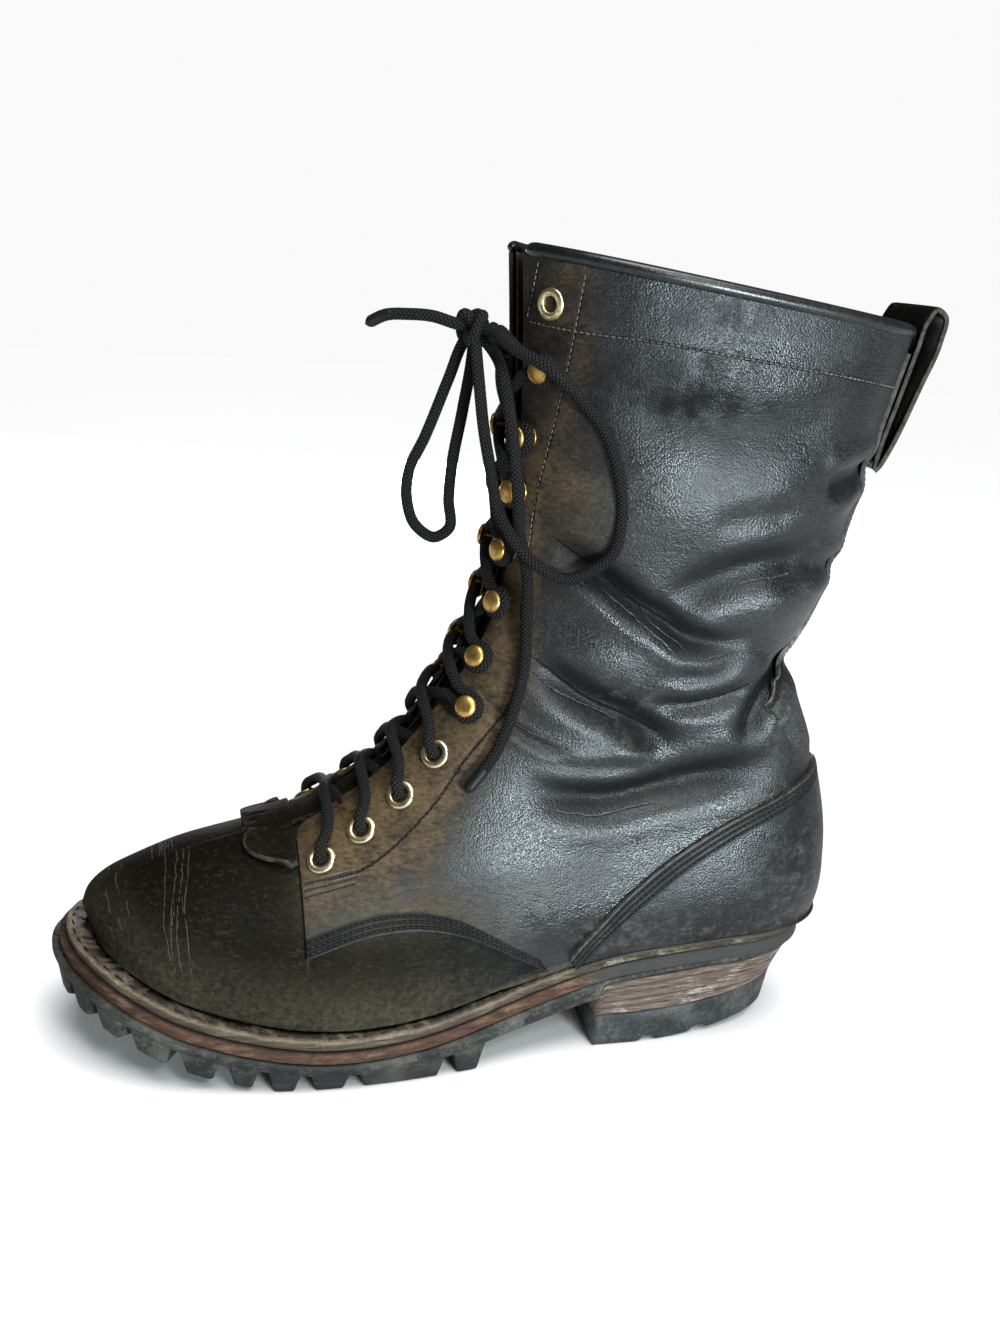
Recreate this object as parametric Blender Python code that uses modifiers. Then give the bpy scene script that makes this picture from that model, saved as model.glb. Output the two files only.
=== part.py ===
"""Wildland fire boot, the left one of a pair: a tall lace-up logger boot on a lugged sole.

Tables are in millimetres and the meshes in metres. The toe points along -X, the lateral side (the side
that the photograph shows) is -Y, and the floor is z = 0. Every piece of the upper is read from one
function, surface(), which lofts the half sections of SECTIONS from the toe to the collar.
"""

import math

import bmesh
import bpy
import numpy as np
from mathutils import Matrix, Vector
from mathutils.bvhtree import BVHTree

MM = 0.001
# The tables' origin lies this far from the middle of the finished boot's box.
ORIGIN = Vector((1.0, 0.96, 0.0))
LATERAL = -1
MEDIAL = 1

# Thicknesses and clearances.
GAP = 0.3
WALL = 2.4
QUARTER_STEP = 1.6
OVERLAY = 1.5
OVERLAY_GAP = 0.85
TONGUE_THICK = 2.2
KILTIE_THICK = 1.8
INSOLE_RISE = 3.0
INSOLE_LIP_INSET = 3.4
INSOLE_CORE_INSET = 8.8
STRIP_INSET = 8.2
WELT_THICK = 4.0
SEAT_RISE = 0.5

# The upper's bottom edge (the feather line) seen from above: half widths either side of an axis.
TOE_X = -153.0
HEEL_X = 145.5
TOE_ROUND_FROM = -112.0
HEEL_ROUND_FROM = 105.0
TOE_ROUNDNESS = 2.2
HEEL_ROUNDNESS = 2.1
OUTLINE_COLUMNS = ("x", "lateral", "medial", "axis")
OUTLINE = (
    (-153, 33.0, 33.0, 4.0),
    (-125, 40.5, 39.0, 3.5),
    (-95, 46.0, 44.5, 2.5),
    (-66, 48.0, 46.0, 1.5),
    (-40, 46.0, 42.5, 0.5),
    (-10, 42.0, 34.5, 0.0),
    (20, 37.0, 28.0, 0.0),
    (50, 35.0, 28.5, 0.0),
    (80, 34.8, 31.5, 0.0),
    (110, 34.0, 33.0, 0.0),
    (145.5, 33.0, 33.0, 0.0),
)

# Height of the feather line, and how thick the sole's layers are under it.
FEATHER_COLUMNS = ("x", "height", "midsole", "outsole")
FEATHER = (
    (-153, 46.0, 5.0, 5.2),
    (-138, 40.0, 5.0, 5.2),
    (-119, 32.6, 5.0, 5.2),
    (-93, 25.6, 5.0, 5.2),
    (-68, 22.0, 5.0, 5.2),
    (-45, 21.8, 5.0, 5.8),
    (-24, 24.4, 5.2, 6.8),
    (5, 31.8, 5.6, 7.8),
    (20, 36.0, 6.0, 8.2),
    (46, 43.0, 6.4, 8.8),
    (80, 48.0, 6.6, 9.0),
    (110, 50.4, 6.6, 9.0),
    (145.5, 50.6, 6.6, 9.0),
)

# How far each layer of the sole stands out from the feather line.
EDGE_COLUMNS = ("x", "welt", "midsole", "outsole")
EDGE = (
    (-153, 9.5, 12.0, 15.0),
    (-120, 8.0, 9.6, 11.0),
    (-70, 6.5, 7.6, 8.4),
    (-20, 5.5, 6.2, 6.8),
    (20, 4.0, 4.3, 4.6),
    (50, 2.6, 2.4, 1.8),
    (100, 1.8, 1.0, -0.5),
    (145.5, 1.0, -0.6, -2.4),
)
LUG_DEPTH = 8.6
LUG_REACH = 16.0
LUG_SLOT = 5.0
LUG_DRAFT = 1.6
SIDE_STEP = 1.2
SIDE_BAND = 3.2
SIDE_CHAMFER = 0.5
LUG_ROOT = 1.2
# Distance of the slots between the edge lugs from the toe's tip, along the edge of the outsole.
LUG_SLOTS = (9.0, 24.0, 38.0, 54.0, 74.0, 92.0, 107.0, 123.0, 142.0, 180.0, 197.0)
CLEAT_X = (-136.0, -114.0, -92.0, -70.0, -48.0, -26.0)
CLEAT_LENGTH = 11.0
CLEAT_SWEEP = 7.0

HEEL_BREAST_X = 47.5
HEEL_LIFTS = 3
HEEL_COLUMNS = ("share", "rear_x", "width")
HEEL_TAPER = ((0.0, 133.5, 0.94), (0.5, 136.0, 0.95), (1.0, 141.5, 0.985))
TOP_LIFT_FRONT = 14.0
TOP_LIFT_REAR = 17.5
TOP_LIFT_GROOVES = (72.0, 96.0)
GROOVE_WIDTH = 6.0
GROOVE_DEPTH = 2.2
GROOVE_REACH = 21.0
TOP_LIFT_CHAMFER = 0.97
# Stations of the welt, from the toe's tip to the heel, and of the rand, from there to the back.
STRIP_JOIN_X = 46.0
WELT_X = TOE_X + (STRIP_JOIN_X - TOE_X) * np.linspace(0.0, 1.0, 19) ** 2
RAND_X = HEEL_X - (HEEL_X - STRIP_JOIN_X - GAP) * np.linspace(0.0, 1.0, 11) ** 2

# Half sections of the upper: from a seat on the feather line, or on the back seam above the heel, to a
# crest on the vamp, or on the closed front of the shaft. A half width of 0 follows the feather line, and
# a seat height of 0 lies on it. "widest" is the share of the section at which it is widest.
SECTION_COLUMNS = (
    "seat_x", "seat_z", "crest_x", "crest_z", "lateral", "medial", "widest", "low_full", "top_full"
)
SECTIONS = (
    (-153.0, 0, -156.5, 56.0, 0, 0, 0.25, 0.00, 0.30),
    (-151.2, 0, -154.0, 62.0, 0, 0, 0.25, 0.00, 0.30),
    (-145.5, 0, -147.5, 66.5, 0, 0, 0.25, 0.00, 0.30),
    (-135.0, 0, -136.5, 70.5, 0, 0, 0.25, 0.00, 0.28),
    (-119.0, 0, -120.0, 76.5, 0, 0, 0.25, 0.00, 0.26),
    (-97.0, 0, -99.0, 83.5, 0, 0, 0.26, 0.00, 0.22),
    (-70.0, 0, -74.0, 92.0, 0, 0, 0.27, 0.00, 0.18),
    (-45.0, 0, -57.0, 104.0, 0, 0, 0.28, 0.00, 0.14),
    (-12.0, 0, -42.0, 117.0, 43.5, 38.5, 0.32, 0.05, 0.10),
    (26.0, 0, -30.0, 132.0, 41.5, 38.0, 0.38, 0.10, 0.10),
    (66.0, 0, -20.0, 147.5, 40.5, 38.5, 0.42, 0.20, 0.10),
    (104.0, 0, -11.5, 161.5, 40.5, 39.5, 0.46, 0.30, 0.10),
    (130.0, 0, -6.0, 173.0, 40.5, 40.0, 0.48, 0.35, 0.12),
    (145.5, 0, -1.5, 186.0, 40.0, 40.0, 0.50, 0.35, 0.12),
    (147.0, 76, 1.0, 200.0, 39.5, 39.5, 0.50, 0.35, 0.14),
    (143.8, 98, 2.6, 213.0, 39.0, 39.0, 0.50, 0.33, 0.14),
    (135.8, 125, 3.4, 226.0, 38.5, 38.5, 0.50, 0.30, 0.15),
    (126.4, 146, 3.6, 235.5, 38.5, 38.5, 0.50, 0.28, 0.15),
    (119.5, 161, 3.6, 243.0, 39.0, 39.0, 0.50, 0.26, 0.16),
    (126.0, 179, 3.4, 252.0, 40.5, 40.5, 0.50, 0.25, 0.16),
    (134.2, 208, 2.8, 267.0, 43.0, 43.0, 0.50, 0.24, 0.18),
    (143.5, 246, 1.6, 286.5, 45.5, 45.5, 0.50, 0.22, 0.20),
    (154.5, 290, -0.5, 311.0, 47.0, 47.0, 0.50, 0.20, 0.20),
)
SWELL = 1.012
QUARTER_ROW = 6
STEP_END_ROW = 9
HEEL_ROW = 13
COLLAR_ROW = 22
FOOT_MIDDLE = (60.0, 0.0, 120.0)
VAMP_ROWS = (0.0, 0.5, 1.0, 1.5, 2.0, 2.6, 3.2, 4.0, 4.7, 5.4, 6.0)
QUARTER_ROWS = (
    6.0, 6.6, 7.3, 8.0, 8.5, 9.0, 9.4, 10.0, 10.7, 11.4, 12.0, 12.5, 13.0, 13.6, 14.3, 15.0, 15.6, 16.2,
    16.8, 17.3, 17.7, 18.0, 18.3, 18.7, 19.2, 19.8, 20.5, 21.2, 22.0
)
# How deep the tongue lies under the upper's surface, by row of SECTIONS: it is sewn to the vamp at its foot.
TONGUE_COLUMNS = ("row", "depth")
TONGUE = ((5.1, 2.75), (5.5, 2.75), (6.2, 4.4), (7.0, 4.4), (22.14, 4.4))
TONGUE_ROWS = np.concatenate([(5.1, 5.3, 5.5, 5.8, 6.2), np.linspace(7.0, 22.14, 14)])
TONGUE_HALF = 28.0

THROAT_HALF = 11.0
# Lower edge of the quarter, where it laps over the vamp, seen from the side.
QUARTER_EDGE = ((-76, 52), (-71, 54), (-46, 62), (-11, 59), (11, 47), (26, 37.8))
# Top edge of the counter, seen from the side.
COUNTER_EDGE = ((27, 36), (36, 52), (46, 66), (62, 81), (85, 97), (110, 110), (130, 118), (143, 120))
COUNTER_ROWS = (9.24, 15.7)
COUNTER_RISE = 2.2
# Half width of the backstay over the back seam, by row of SECTIONS.
BACKSTAY_COLUMNS = ("row", "half")
BACKSTAY = ((15.9, 25.0), (16.8, 27.0), (17.4, 22.0), (18.0, 13.0), (19.0, 11.5), (21.8, 11.0))
BACKSTAY_ROWS = (
    15.95, 16.2, 16.5, 16.8, 17.05, 17.3, 17.5, 17.7, 17.85, 18.0, 18.15, 18.3, 18.5, 18.7, 19.2, 19.8, 20.5,
    21.2, 21.9
)

# The kiltie's half width and its lift over the upper's surface, by row of SECTIONS.
KILTIE_COLUMNS = ("row", "half", "lift")
KILTIE = (
    (5.2, 26.0, 2.2), (5.5, 27.0, 1.2), (5.86, 25.0, 1.2), (5.93, 9.2, 1.0), (6.4, 8.5, -0.8),
    (8.0, 8.0, -3.0),
)
KILTIE_ROWS = (5.2, 5.44, 5.62, 5.84, 5.93, 6.2, 6.8, 7.4, 8.0)
KILTIE_TEETH = 6
KILTIE_TOOTH = 0.2

# Lacing stations on the facing, seen from the side.
EYELETS = ((-66, 86), (-51, 97), (-36, 110), (-23, 126))
HOOKS = ((-10, 144), (-5, 162), (2, 184), (4, 204), (6, 227), (7, 248), (10, 273))
TOP_EYELET = ((9, 296),)
EYELET_HOLE = 3.9
FLANGE = 5.0
# Turned profiles as radius and height over the leather.
EYELET_PROFILE = (
    (2.9, -4.2), (4.7, -4.2), (4.7, -3.7), (3.5, -3.7), (3.5, 0.4), (5.8, 0.4), (5.4, 1.4), (2.9, 1.2)
)
HOOK_PROFILE = (
    (0.0, 0.4), (4.7, 0.4), (4.5, 1.2), (1.9, 1.4), (1.9, 5.6), (3.8, 5.8), (3.3, 7.5), (0.0, 8.4)
)
TURN_STEPS = 8
HOOK_STEPS = 6

LACE_RADIUS = 2.2
LACE_RISE = 4.5
LACE_CROSS_RISE = 5.0
LACE_CLEAR_EYELET = 8.4
LACE_CLEAR_HOOK = 7.4
LACE_TURN = 2.7
# Middle of the knot, its half sizes, and where the two strands from the top hooks meet it.
KNOT = (-15.0, -4.0, 285.0)
KNOT_SIZE = (6.0, 7.0, 6.0)
KNOT_ENTRY = (7.3, 3.4, 1.0)
BOW_SPACING = 11.0
# Routes of the bow's loops and ends from the knot: over the hooks, and down on the quarter's leather.
BOW_ROUTES = {
    "lace_loop_lateral": (
        (-11, -13, 285), (-5, -27, 280), (6, -40, 274), (17, -39, 265), (27, -40, 254), (33, -42, 239),
        (36, -41, 223), (34, -39, 209), (27, -36, 202), (19, -35, 199), (9, -36, 203), (0, -31, 211),
        (-6, -24, 222), (-9, -20, 236), (-12, -18, 250), (-14, -15, 265), (-15, -11, 276),
    ),
    "lace_end_lateral": (
        (-9, -9, 278), (-7, -23, 269), (-5, -28, 257), (-3, -30, 245), (-1, -31, 231), (2, -27, 214),
        (6, -27, 198), (7, -28, 181), (7, -30, 164), (3, -33, 146), (-3, -35, 131), (-14, -37, 116),
    ),
    "lace_loop_medial": (
        (-18, -1, 279.6), (-22, 3, 266), (-29, 8, 243), (-34, 11, 229), (-34, 12, 218), (-30, 12, 208),
        (-23, 10, 204), (-18, 7, 208), (-19, 5, 220), (-19, 2, 235), (-17, -1, 254), (-15, -4, 278.6),
    ),
    "lace_end_medial": ((-21.5, -3, 286), (-30, 0, 288), (-38, 4, 288), (-46, 8, 287), (-53, 11, 283)),
}

COLLAR_ROLL = 2.6
COLLAR_RISE = 0.3
LOOP_STATIONS = 20
LOOP_WIDTH = 36.0
LOOP_THICK = 1.8
LOOP_BACK_RADIUS = 42.0
# Share of the shaft's curve that the strap follows, by share of the way along it: its outer leg is flatter.
LOOP_CURVE_COLUMNS = ("along", "share")
LOOP_CURVE = ((0.0, 1.0), (0.42, 1.0), (0.54, 0.15), (0.8, 0.15), (1.0, 0.9))
# Middle of the pull strap's thickness, seen from the side: up the back, over the fold and down.
LOOP_PATH = (
    (148.9, 243), (151.2, 252), (155.7, 268), (160.7, 288), (162.6, 298), (165.4, 302.6), (168.8, 300.5),
    (168.9, 291), (165.2, 273), (158.9, 256), (153.4, 246), (150.7, 241.8),
)


def scene_collection(name, hidden=False):
    collection = bpy.data.collections.new(name)
    bpy.context.scene.collection.children.link(collection)
    collection.hide_render = hidden
    return collection


def finish(name, colour, roughness, metallic=0.0):
    """A Principled material of the part's own colour."""
    material = bpy.data.materials.new(name)
    material.use_nodes = True
    shader = material.node_tree.nodes["Principled BSDF"]
    shader.inputs["Base Color"].default_value = (*colour, 1.0)
    shader.inputs["Roughness"].default_value = roughness
    shader.inputs["Metallic"].default_value = metallic
    return material


def column(table, names, name):
    return np.array([row[names.index(name)] for row in table], float)


def smooth(knots, values, at):
    """A cubic through the knots, straight beyond the two ends."""
    knots = np.asarray(knots, float)
    values = np.asarray(values, float)
    at = np.asarray(at, float)
    slopes = np.gradient(values, knots)
    low = np.clip(np.searchsorted(knots, at) - 1, 0, len(knots) - 2)
    step = knots[low + 1] - knots[low]
    place = (at - knots[low]) / step
    share = np.clip(place, 0.0, 1.0)
    rise = share * share * (3.0 - 2.0 * share)
    lead = share * (1.0 - share) ** 2 * slopes[low]
    trail = share * share * (share - 1.0) * slopes[low + 1]
    inside = values[low] * (1.0 - rise) + values[low + 1] * rise + step * (lead + trail)
    beyond = np.where(place < 0.0, slopes[low], slopes[low + 1])
    return inside + beyond * step * (place - share)


def from_table(table, names, name, at):
    return smooth(column(table, names, names[0]), column(table, names, name), at)


def outline(x):
    """Lateral and medial half width of the feather line, and its axis, at a place along the boot."""
    toe = np.clip((TOE_ROUND_FROM - x) / (TOE_ROUND_FROM - TOE_X), 0.0, 1.0)
    heel = np.clip((x - HEEL_ROUND_FROM) / (HEEL_X - HEEL_ROUND_FROM), 0.0, 1.0)
    ends = (1.0 - toe**TOE_ROUNDNESS) ** (1.0 / TOE_ROUNDNESS)
    ends = ends * (1.0 - heel**HEEL_ROUNDNESS) ** (1.0 / HEEL_ROUNDNESS)
    lateral = from_table(OUTLINE, OUTLINE_COLUMNS, "lateral", x) * ends
    medial = from_table(OUTLINE, OUTLINE_COLUMNS, "medial", x) * ends
    return lateral, medial, from_table(OUTLINE, OUTLINE_COLUMNS, "axis", x)


def feather(x):
    return from_table(FEATHER, FEATHER_COLUMNS, "height", x)


def section(row):
    """The loft's sizes at a place between the rows of SECTIONS, as a dictionary of arrays."""
    row = np.asarray(row, float)
    rows = np.arange(len(SECTIONS))
    sizes = {name: smooth(rows, column(SECTIONS, SECTION_COLUMNS, name), row) for name in SECTION_COLUMNS}
    on_sole = row <= HEEL_ROW
    seat_x = np.clip(sizes["seat_x"], TOE_X, np.where(on_sole, HEEL_X, np.inf))
    lateral, medial, axis = outline(np.clip(seat_x, TOE_X, HEEL_X))
    above = np.maximum(rows, HEEL_ROW)
    heights = np.where(rows <= HEEL_ROW, feather(HEEL_X), column(SECTIONS, SECTION_COLUMNS, "seat_z"))
    sizes["seat_x"] = seat_x
    sizes["seat_z"] = np.where(
        on_sole, feather(seat_x), smooth(above[HEEL_ROW:], heights[HEEL_ROW:], np.maximum(row, HEEL_ROW))
    )
    sizes["axis"] = np.where(on_sole, axis, 0.0)
    sizes["seat_lateral"] = np.where(on_sole, lateral, 0.0)
    sizes["seat_medial"] = np.where(on_sole, medial, 0.0)
    return sizes


def cosine_at(share, full):
    """Cosine of the angle at which a half section is down to this share of its half width."""
    cosine = np.asarray(share, float)
    for _ in range(24):
        cosine = share / (1.0 + full * (1.0 - cosine * cosine))
    return np.clip(cosine, 0.0, 1.0)


def half_width(sizes, side):
    name = "lateral" if side == LATERAL else "medial"
    return np.maximum(sizes[name], SWELL * sizes["seat_" + name]), sizes["seat_" + name]


def seat_angle(row, side):
    """Angle, under the widest place, at which the half section reaches its seat."""
    sizes = section(row)
    half, seat = half_width(sizes, side)
    return np.arccos(cosine_at(seat / np.maximum(half, 1e-6), sizes["low_full"]))


def surface(row, angle, side):
    """A point of the upper's outer surface: -seat_angle is the seat, 0 the widest place, pi/2 the crest."""
    row, angle = np.broadcast_arrays(np.asarray(row, float), np.asarray(angle, float))
    sizes = section(row)
    half, seat = half_width(sizes, side)
    lowest = np.arccos(cosine_at(seat / np.maximum(half, 1e-6), sizes["low_full"]))
    under = angle < 0.0
    sine = np.sin(angle)
    widest = sizes["widest"]
    share = np.where(under, widest * (1.0 + sine / np.sin(lowest)), widest + (1.0 - widest) * sine)
    full = np.where(under, sizes["low_full"], sizes["top_full"])
    y = sizes["axis"] + side * half * np.cos(angle) * (1.0 + full * sine * sine)
    x = sizes["seat_x"] + share * (sizes["crest_x"] - sizes["seat_x"])
    z = sizes["seat_z"] + share * (sizes["crest_z"] - sizes["seat_z"])
    return np.stack([x, y, z], axis=-1)


def normal(row, angle, side):
    """The outward normal of surface()."""
    row, angle = np.broadcast_arrays(np.asarray(row, float), np.asarray(angle, float))
    small = 1e-3
    low = np.maximum(angle - small, -seat_angle(row, side))
    high = np.minimum(angle + small, math.pi / 2)
    along = surface(row + small, np.maximum(angle, -seat_angle(row + small, side)), side) - surface(
        np.maximum(row - small, 0.0), np.maximum(angle, -seat_angle(np.maximum(row - small, 0.0), side)), side
    )
    around = surface(row, high, side) - surface(row, low, side)
    across = -side * np.cross(along, around)
    return across / np.maximum(np.linalg.norm(across, axis=-1, keepdims=True), 1e-9)


def lifted(row, angle, side, lift):
    return surface(row, angle, side) + normal(row, angle, side) * np.asarray(lift, float)[..., None]


def angle_at_half(row, half, side, most=0.25):
    """The angle, over the widest place, at which the section is down to this half width."""
    sizes = section(row)
    widest, _ = half_width(sizes, side)
    share = np.minimum(half / np.maximum(widest, 1e-6), most)
    return np.arccos(cosine_at(share, sizes["top_full"]))


def angle_at_share(row, share, side):
    """The angle at a share of the way from a section's seat to its crest."""
    widest = float(section(row)["widest"])
    if share < widest:
        return -math.asin((1.0 - share / widest) * math.sin(float(seat_angle(row, side))))
    return math.asin(min(1.0, (share - widest) / (1.0 - widest)))


def share_at_edge(row, edge):
    """The share of a section that lies under an edge drawn from the side."""
    sizes = section(row)
    low, high = 0.0, 0.9
    knots = [point[0] for point in edge]
    heights = [point[1] for point in edge]
    for _ in range(30):
        share = 0.5 * (low + high)
        x = sizes["seat_x"] + share * (sizes["crest_x"] - sizes["seat_x"])
        z = sizes["seat_z"] + share * (sizes["crest_z"] - sizes["seat_z"])
        if z < smooth(knots, heights, np.clip(x, knots[0], knots[-1])):
            low = share
        else:
            high = share
    return low


def locate(x, z, side):
    """Row and angle of the upper's point that is seen from the side at x, z."""
    low, high = float(QUARTER_ROW), float(COLLAR_ROW)
    for _ in range(40):
        row = 0.5 * (low + high)
        s = section(row)
        run_x, run_z = s["crest_x"] - s["seat_x"], s["crest_z"] - s["seat_z"]
        over = run_x * (z - s["seat_z"]) - run_z * (x - s["seat_x"]) < 0.0
        low, high = (row, high) if over else (low, row)
    share = ((x - s["seat_x"]) * run_x + (z - s["seat_z"]) * run_z) / (run_x**2 + run_z**2)
    return row, angle_at_share(row, float(share), side)


def metres(point):
    """A point of the tables in the object's own frame."""
    return (Vector(point) - ORIGIN) * MM


def add_object(name, mesh, material, collection):
    thing = bpy.data.objects.new(name, mesh)
    if material:
        mesh.materials.append(material)
    collection.objects.link(thing)
    return thing


def mesh_of_faces(name, points, faces):
    """A mesh in metres of points in millimetres, with its doubles merged and its faces turned outwards."""
    mesh = bpy.data.meshes.new(name)
    shape = bmesh.new()
    corners = [shape.verts.new(metres(point)) for point in points]
    for face in faces:
        shape.faces.new([corners[index] for index in face])
    bmesh.ops.remove_doubles(shape, verts=shape.verts, dist=2e-5)
    bmesh.ops.dissolve_degenerate(shape, edges=shape.edges, dist=1e-6)
    bmesh.ops.recalc_face_normals(shape, faces=shape.faces)
    shape.to_mesh(mesh)
    shape.free()
    return mesh


def grid_faces(rows, columns, start=0, closed=False):
    """Quads between the rows of a grid of points."""
    faces = []
    for r in range(rows - 1):
        for c in range(columns if closed else columns - 1):
            n = (c + 1) % columns
            low, high = start + r * columns, start + (r + 1) * columns
            faces.append((low + c, low + n, high + n, high + c))
    return faces


def loft(name, loops, material, collection):
    """A solid through closed loops, capped by rungs between the loop's two sides."""
    count = len(loops[0])
    points = [point for loop in loops for point in loop]
    faces = grid_faces(len(loops), count, closed=True)
    for start in (0, count * (len(loops) - 1)):
        for i in range(count // 2):
            rung = (start + i, start + i + 1, start + (count - i - 1) % count, start + (count - i) % count)
            faces.append(tuple(dict.fromkeys(rung)))
    faces = [face for face in faces if len(face) > 2]
    return add_object(name, mesh_of_faces(name, points, faces), material, collection)


def sweep(name, rails, material, collection):
    """A solid bar whose section's corners run along the rails."""
    count = len(rails)
    points = [rail[i] for i in range(len(rails[0])) for rail in rails]
    faces = grid_faces(len(rails[0]), count, closed=True)
    faces.append(tuple(range(count)))
    faces.append(tuple(range(len(points) - count, len(points))))
    return add_object(name, mesh_of_faces(name, points, faces), material, collection)


def shell(name, patches, thickness, material, collection):
    """A sheet of patches (grids of points) with Solidify, which thickens it inwards."""
    points, faces = [], []
    for patch in patches:
        faces += grid_faces(len(patch), len(patch[0]), start=len(points))
        points += [point for line in patch for point in line]
    mesh = mesh_of_faces(name, points, faces)
    thing = add_object(name, mesh, material, collection)
    solid = thing.modifiers.new("thickness", "SOLIDIFY")
    solid.thickness = thickness * MM
    solid.offset = -1.0
    return thing


def face_outwards(mesh, inside):
    """Turn a sheet's faces away from a point inside it."""
    shape = bmesh.new()
    shape.from_mesh(mesh)
    centre = metres(inside)
    votes = sum(math.copysign(1, f.normal.dot(f.calc_center_median() - centre)) for f in shape.faces)
    if votes < 0:
        bmesh.ops.reverse_faces(shape, faces=shape.faces)
    shape.to_mesh(mesh)
    shape.free()


def sheet_tree(mesh):
    """A search tree of a sheet's own facets, before it is thickened."""
    shape = bmesh.new()
    shape.from_mesh(mesh)
    tree = BVHTree.FromBMesh(shape)
    shape.free()
    return tree


def edge_sides(x, out=None, inset=0.0):
    """The feather line's lateral and medial sides seen from above, moved outwards to a layer's edge."""
    x = np.asarray(x, float)
    small = 0.05
    ahead = np.minimum(x + small, HEEL_X)
    behind = np.maximum(x - small, TOE_X)
    reach = from_table(EDGE, EDGE_COLUMNS, out, x) if out else 0.0
    sides = []
    for side in (LATERAL, MEDIAL):
        y, y_ahead, y_behind = (edge_y(place, side) for place in (x, ahead, behind))
        slope = (y_ahead - y_behind) / (ahead - behind)
        outward = side * np.stack([-slope, np.ones_like(slope)], axis=1)
        outward /= np.linalg.norm(outward, axis=1, keepdims=True)
        sides.append(np.stack([x, y], axis=1) + outward * (reach - inset + np.zeros_like(x))[:, None])
    return sides


def edge_y(x, side):
    lateral, medial, axis = outline(x)
    return axis - lateral if side == LATERAL else axis + medial


def edge_loop(out, inset=0.0, stations=26):
    """A layer's edge as a closed loop, from the toe's tip down the lateral side."""
    turn = np.linspace(0.0, math.pi, stations + 1)
    lateral, medial = edge_sides(0.5 * (TOE_X + HEEL_X) - 0.5 * (HEEL_X - TOE_X) * np.cos(turn), out, inset)
    return np.concatenate([lateral, medial[-2:0:-1]])


def welt_bottom(x):
    return feather(x) - GAP - WELT_THICK


def midsole_bottom(x):
    return welt_bottom(x) - GAP - from_table(FEATHER, FEATHER_COLUMNS, "midsole", x)


def outsole_bottom(x):
    return midsole_bottom(x) - GAP - from_table(FEATHER, FEATHER_COLUMNS, "outsole", x)


def lug_bottom(x):
    """The tread: flat on the floor under the ball, and rising with the toe spring."""
    return np.where(x < -66.0, np.maximum(outsole_bottom(x) - LUG_DEPTH, 0.0), 0.0)


def prism(*loops):
    """Points and faces of a solid through loops of equal count that run there and back."""
    count = len(loops[0])
    points = [point for loop in loops for point in loop]
    faces = grid_faces(len(loops), count, closed=True)
    for start in (0, count * (len(loops) - 1)):
        for i in range(count // 2 - 1):
            faces.append((start + i, start + i + 1, start + count - 2 - i, start + count - 1 - i))
    return points, faces


def joined(name, solids, material, collection):
    """One object of several separate solids, each as points and faces."""
    points, faces = [], []
    for more_points, more_faces in solids:
        faces += [tuple(index + len(points) for index in face) for face in more_faces]
        points += list(more_points)
    return add_object(name, mesh_of_faces(name, points, faces), material, collection)


def boolean(thing, other, operation):
    modifier = thing.modifiers.new(operation.lower(), "BOOLEAN")
    modifier.operation = operation
    modifier.solver = "EXACT"
    modifier.object = other


def as_cutter(thing):
    thing.hide_render = True
    thing.display_type = "WIRE"
    return thing


def flat_loop(loop, height, lift=0.0):
    return np.column_stack([loop, height(loop[:, 0]) + lift])


def make_midsole(parts, material):
    loop = edge_loop("midsole")
    loops = [flat_loop(loop, midsole_bottom), flat_loop(loop, welt_bottom, -GAP)]
    return loft("midsole", loops, material, parts)


def make_insole(parts, material):
    core = edge_loop(None, INSOLE_CORE_INSET)
    lip = edge_loop(None, INSOLE_LIP_INSET)
    loops = [
        flat_loop(core, welt_bottom),
        flat_loop(core, feather, GAP),
        flat_loop(lip, feather, GAP),
        flat_loop(lip, feather, INSOLE_RISE),
    ]
    return loft("insole", loops, material, parts)


def make_strip(name, x, parts, material):
    """The welt round the forefoot, or the rand round the heel: a flat bar along the feather line."""
    rails = []
    for out, inset, height, lift in (
        (None, STRIP_INSET, welt_bottom, 0.0),
        ("welt", 0.0, welt_bottom, 0.0),
        ("welt", 0.0, feather, -GAP),
        (None, STRIP_INSET, feather, -GAP),
    ):
        lateral, medial = edge_sides(x, out, inset)
        rails.append(flat_loop(np.concatenate([medial[::-1], lateral[1:]]), height, lift))
    return sweep(name, rails, material, parts)


def lug_path(inset):
    """The outsole's edge as a line from the medial side round the toe to the lateral side."""
    x = TOE_X + (HEEL_BREAST_X - TOE_X) * np.linspace(0.0, 1.0, 121) ** 2
    lateral, medial = edge_sides(x, "outsole", inset)
    return np.concatenate([medial[:0:-1], lateral])


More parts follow.
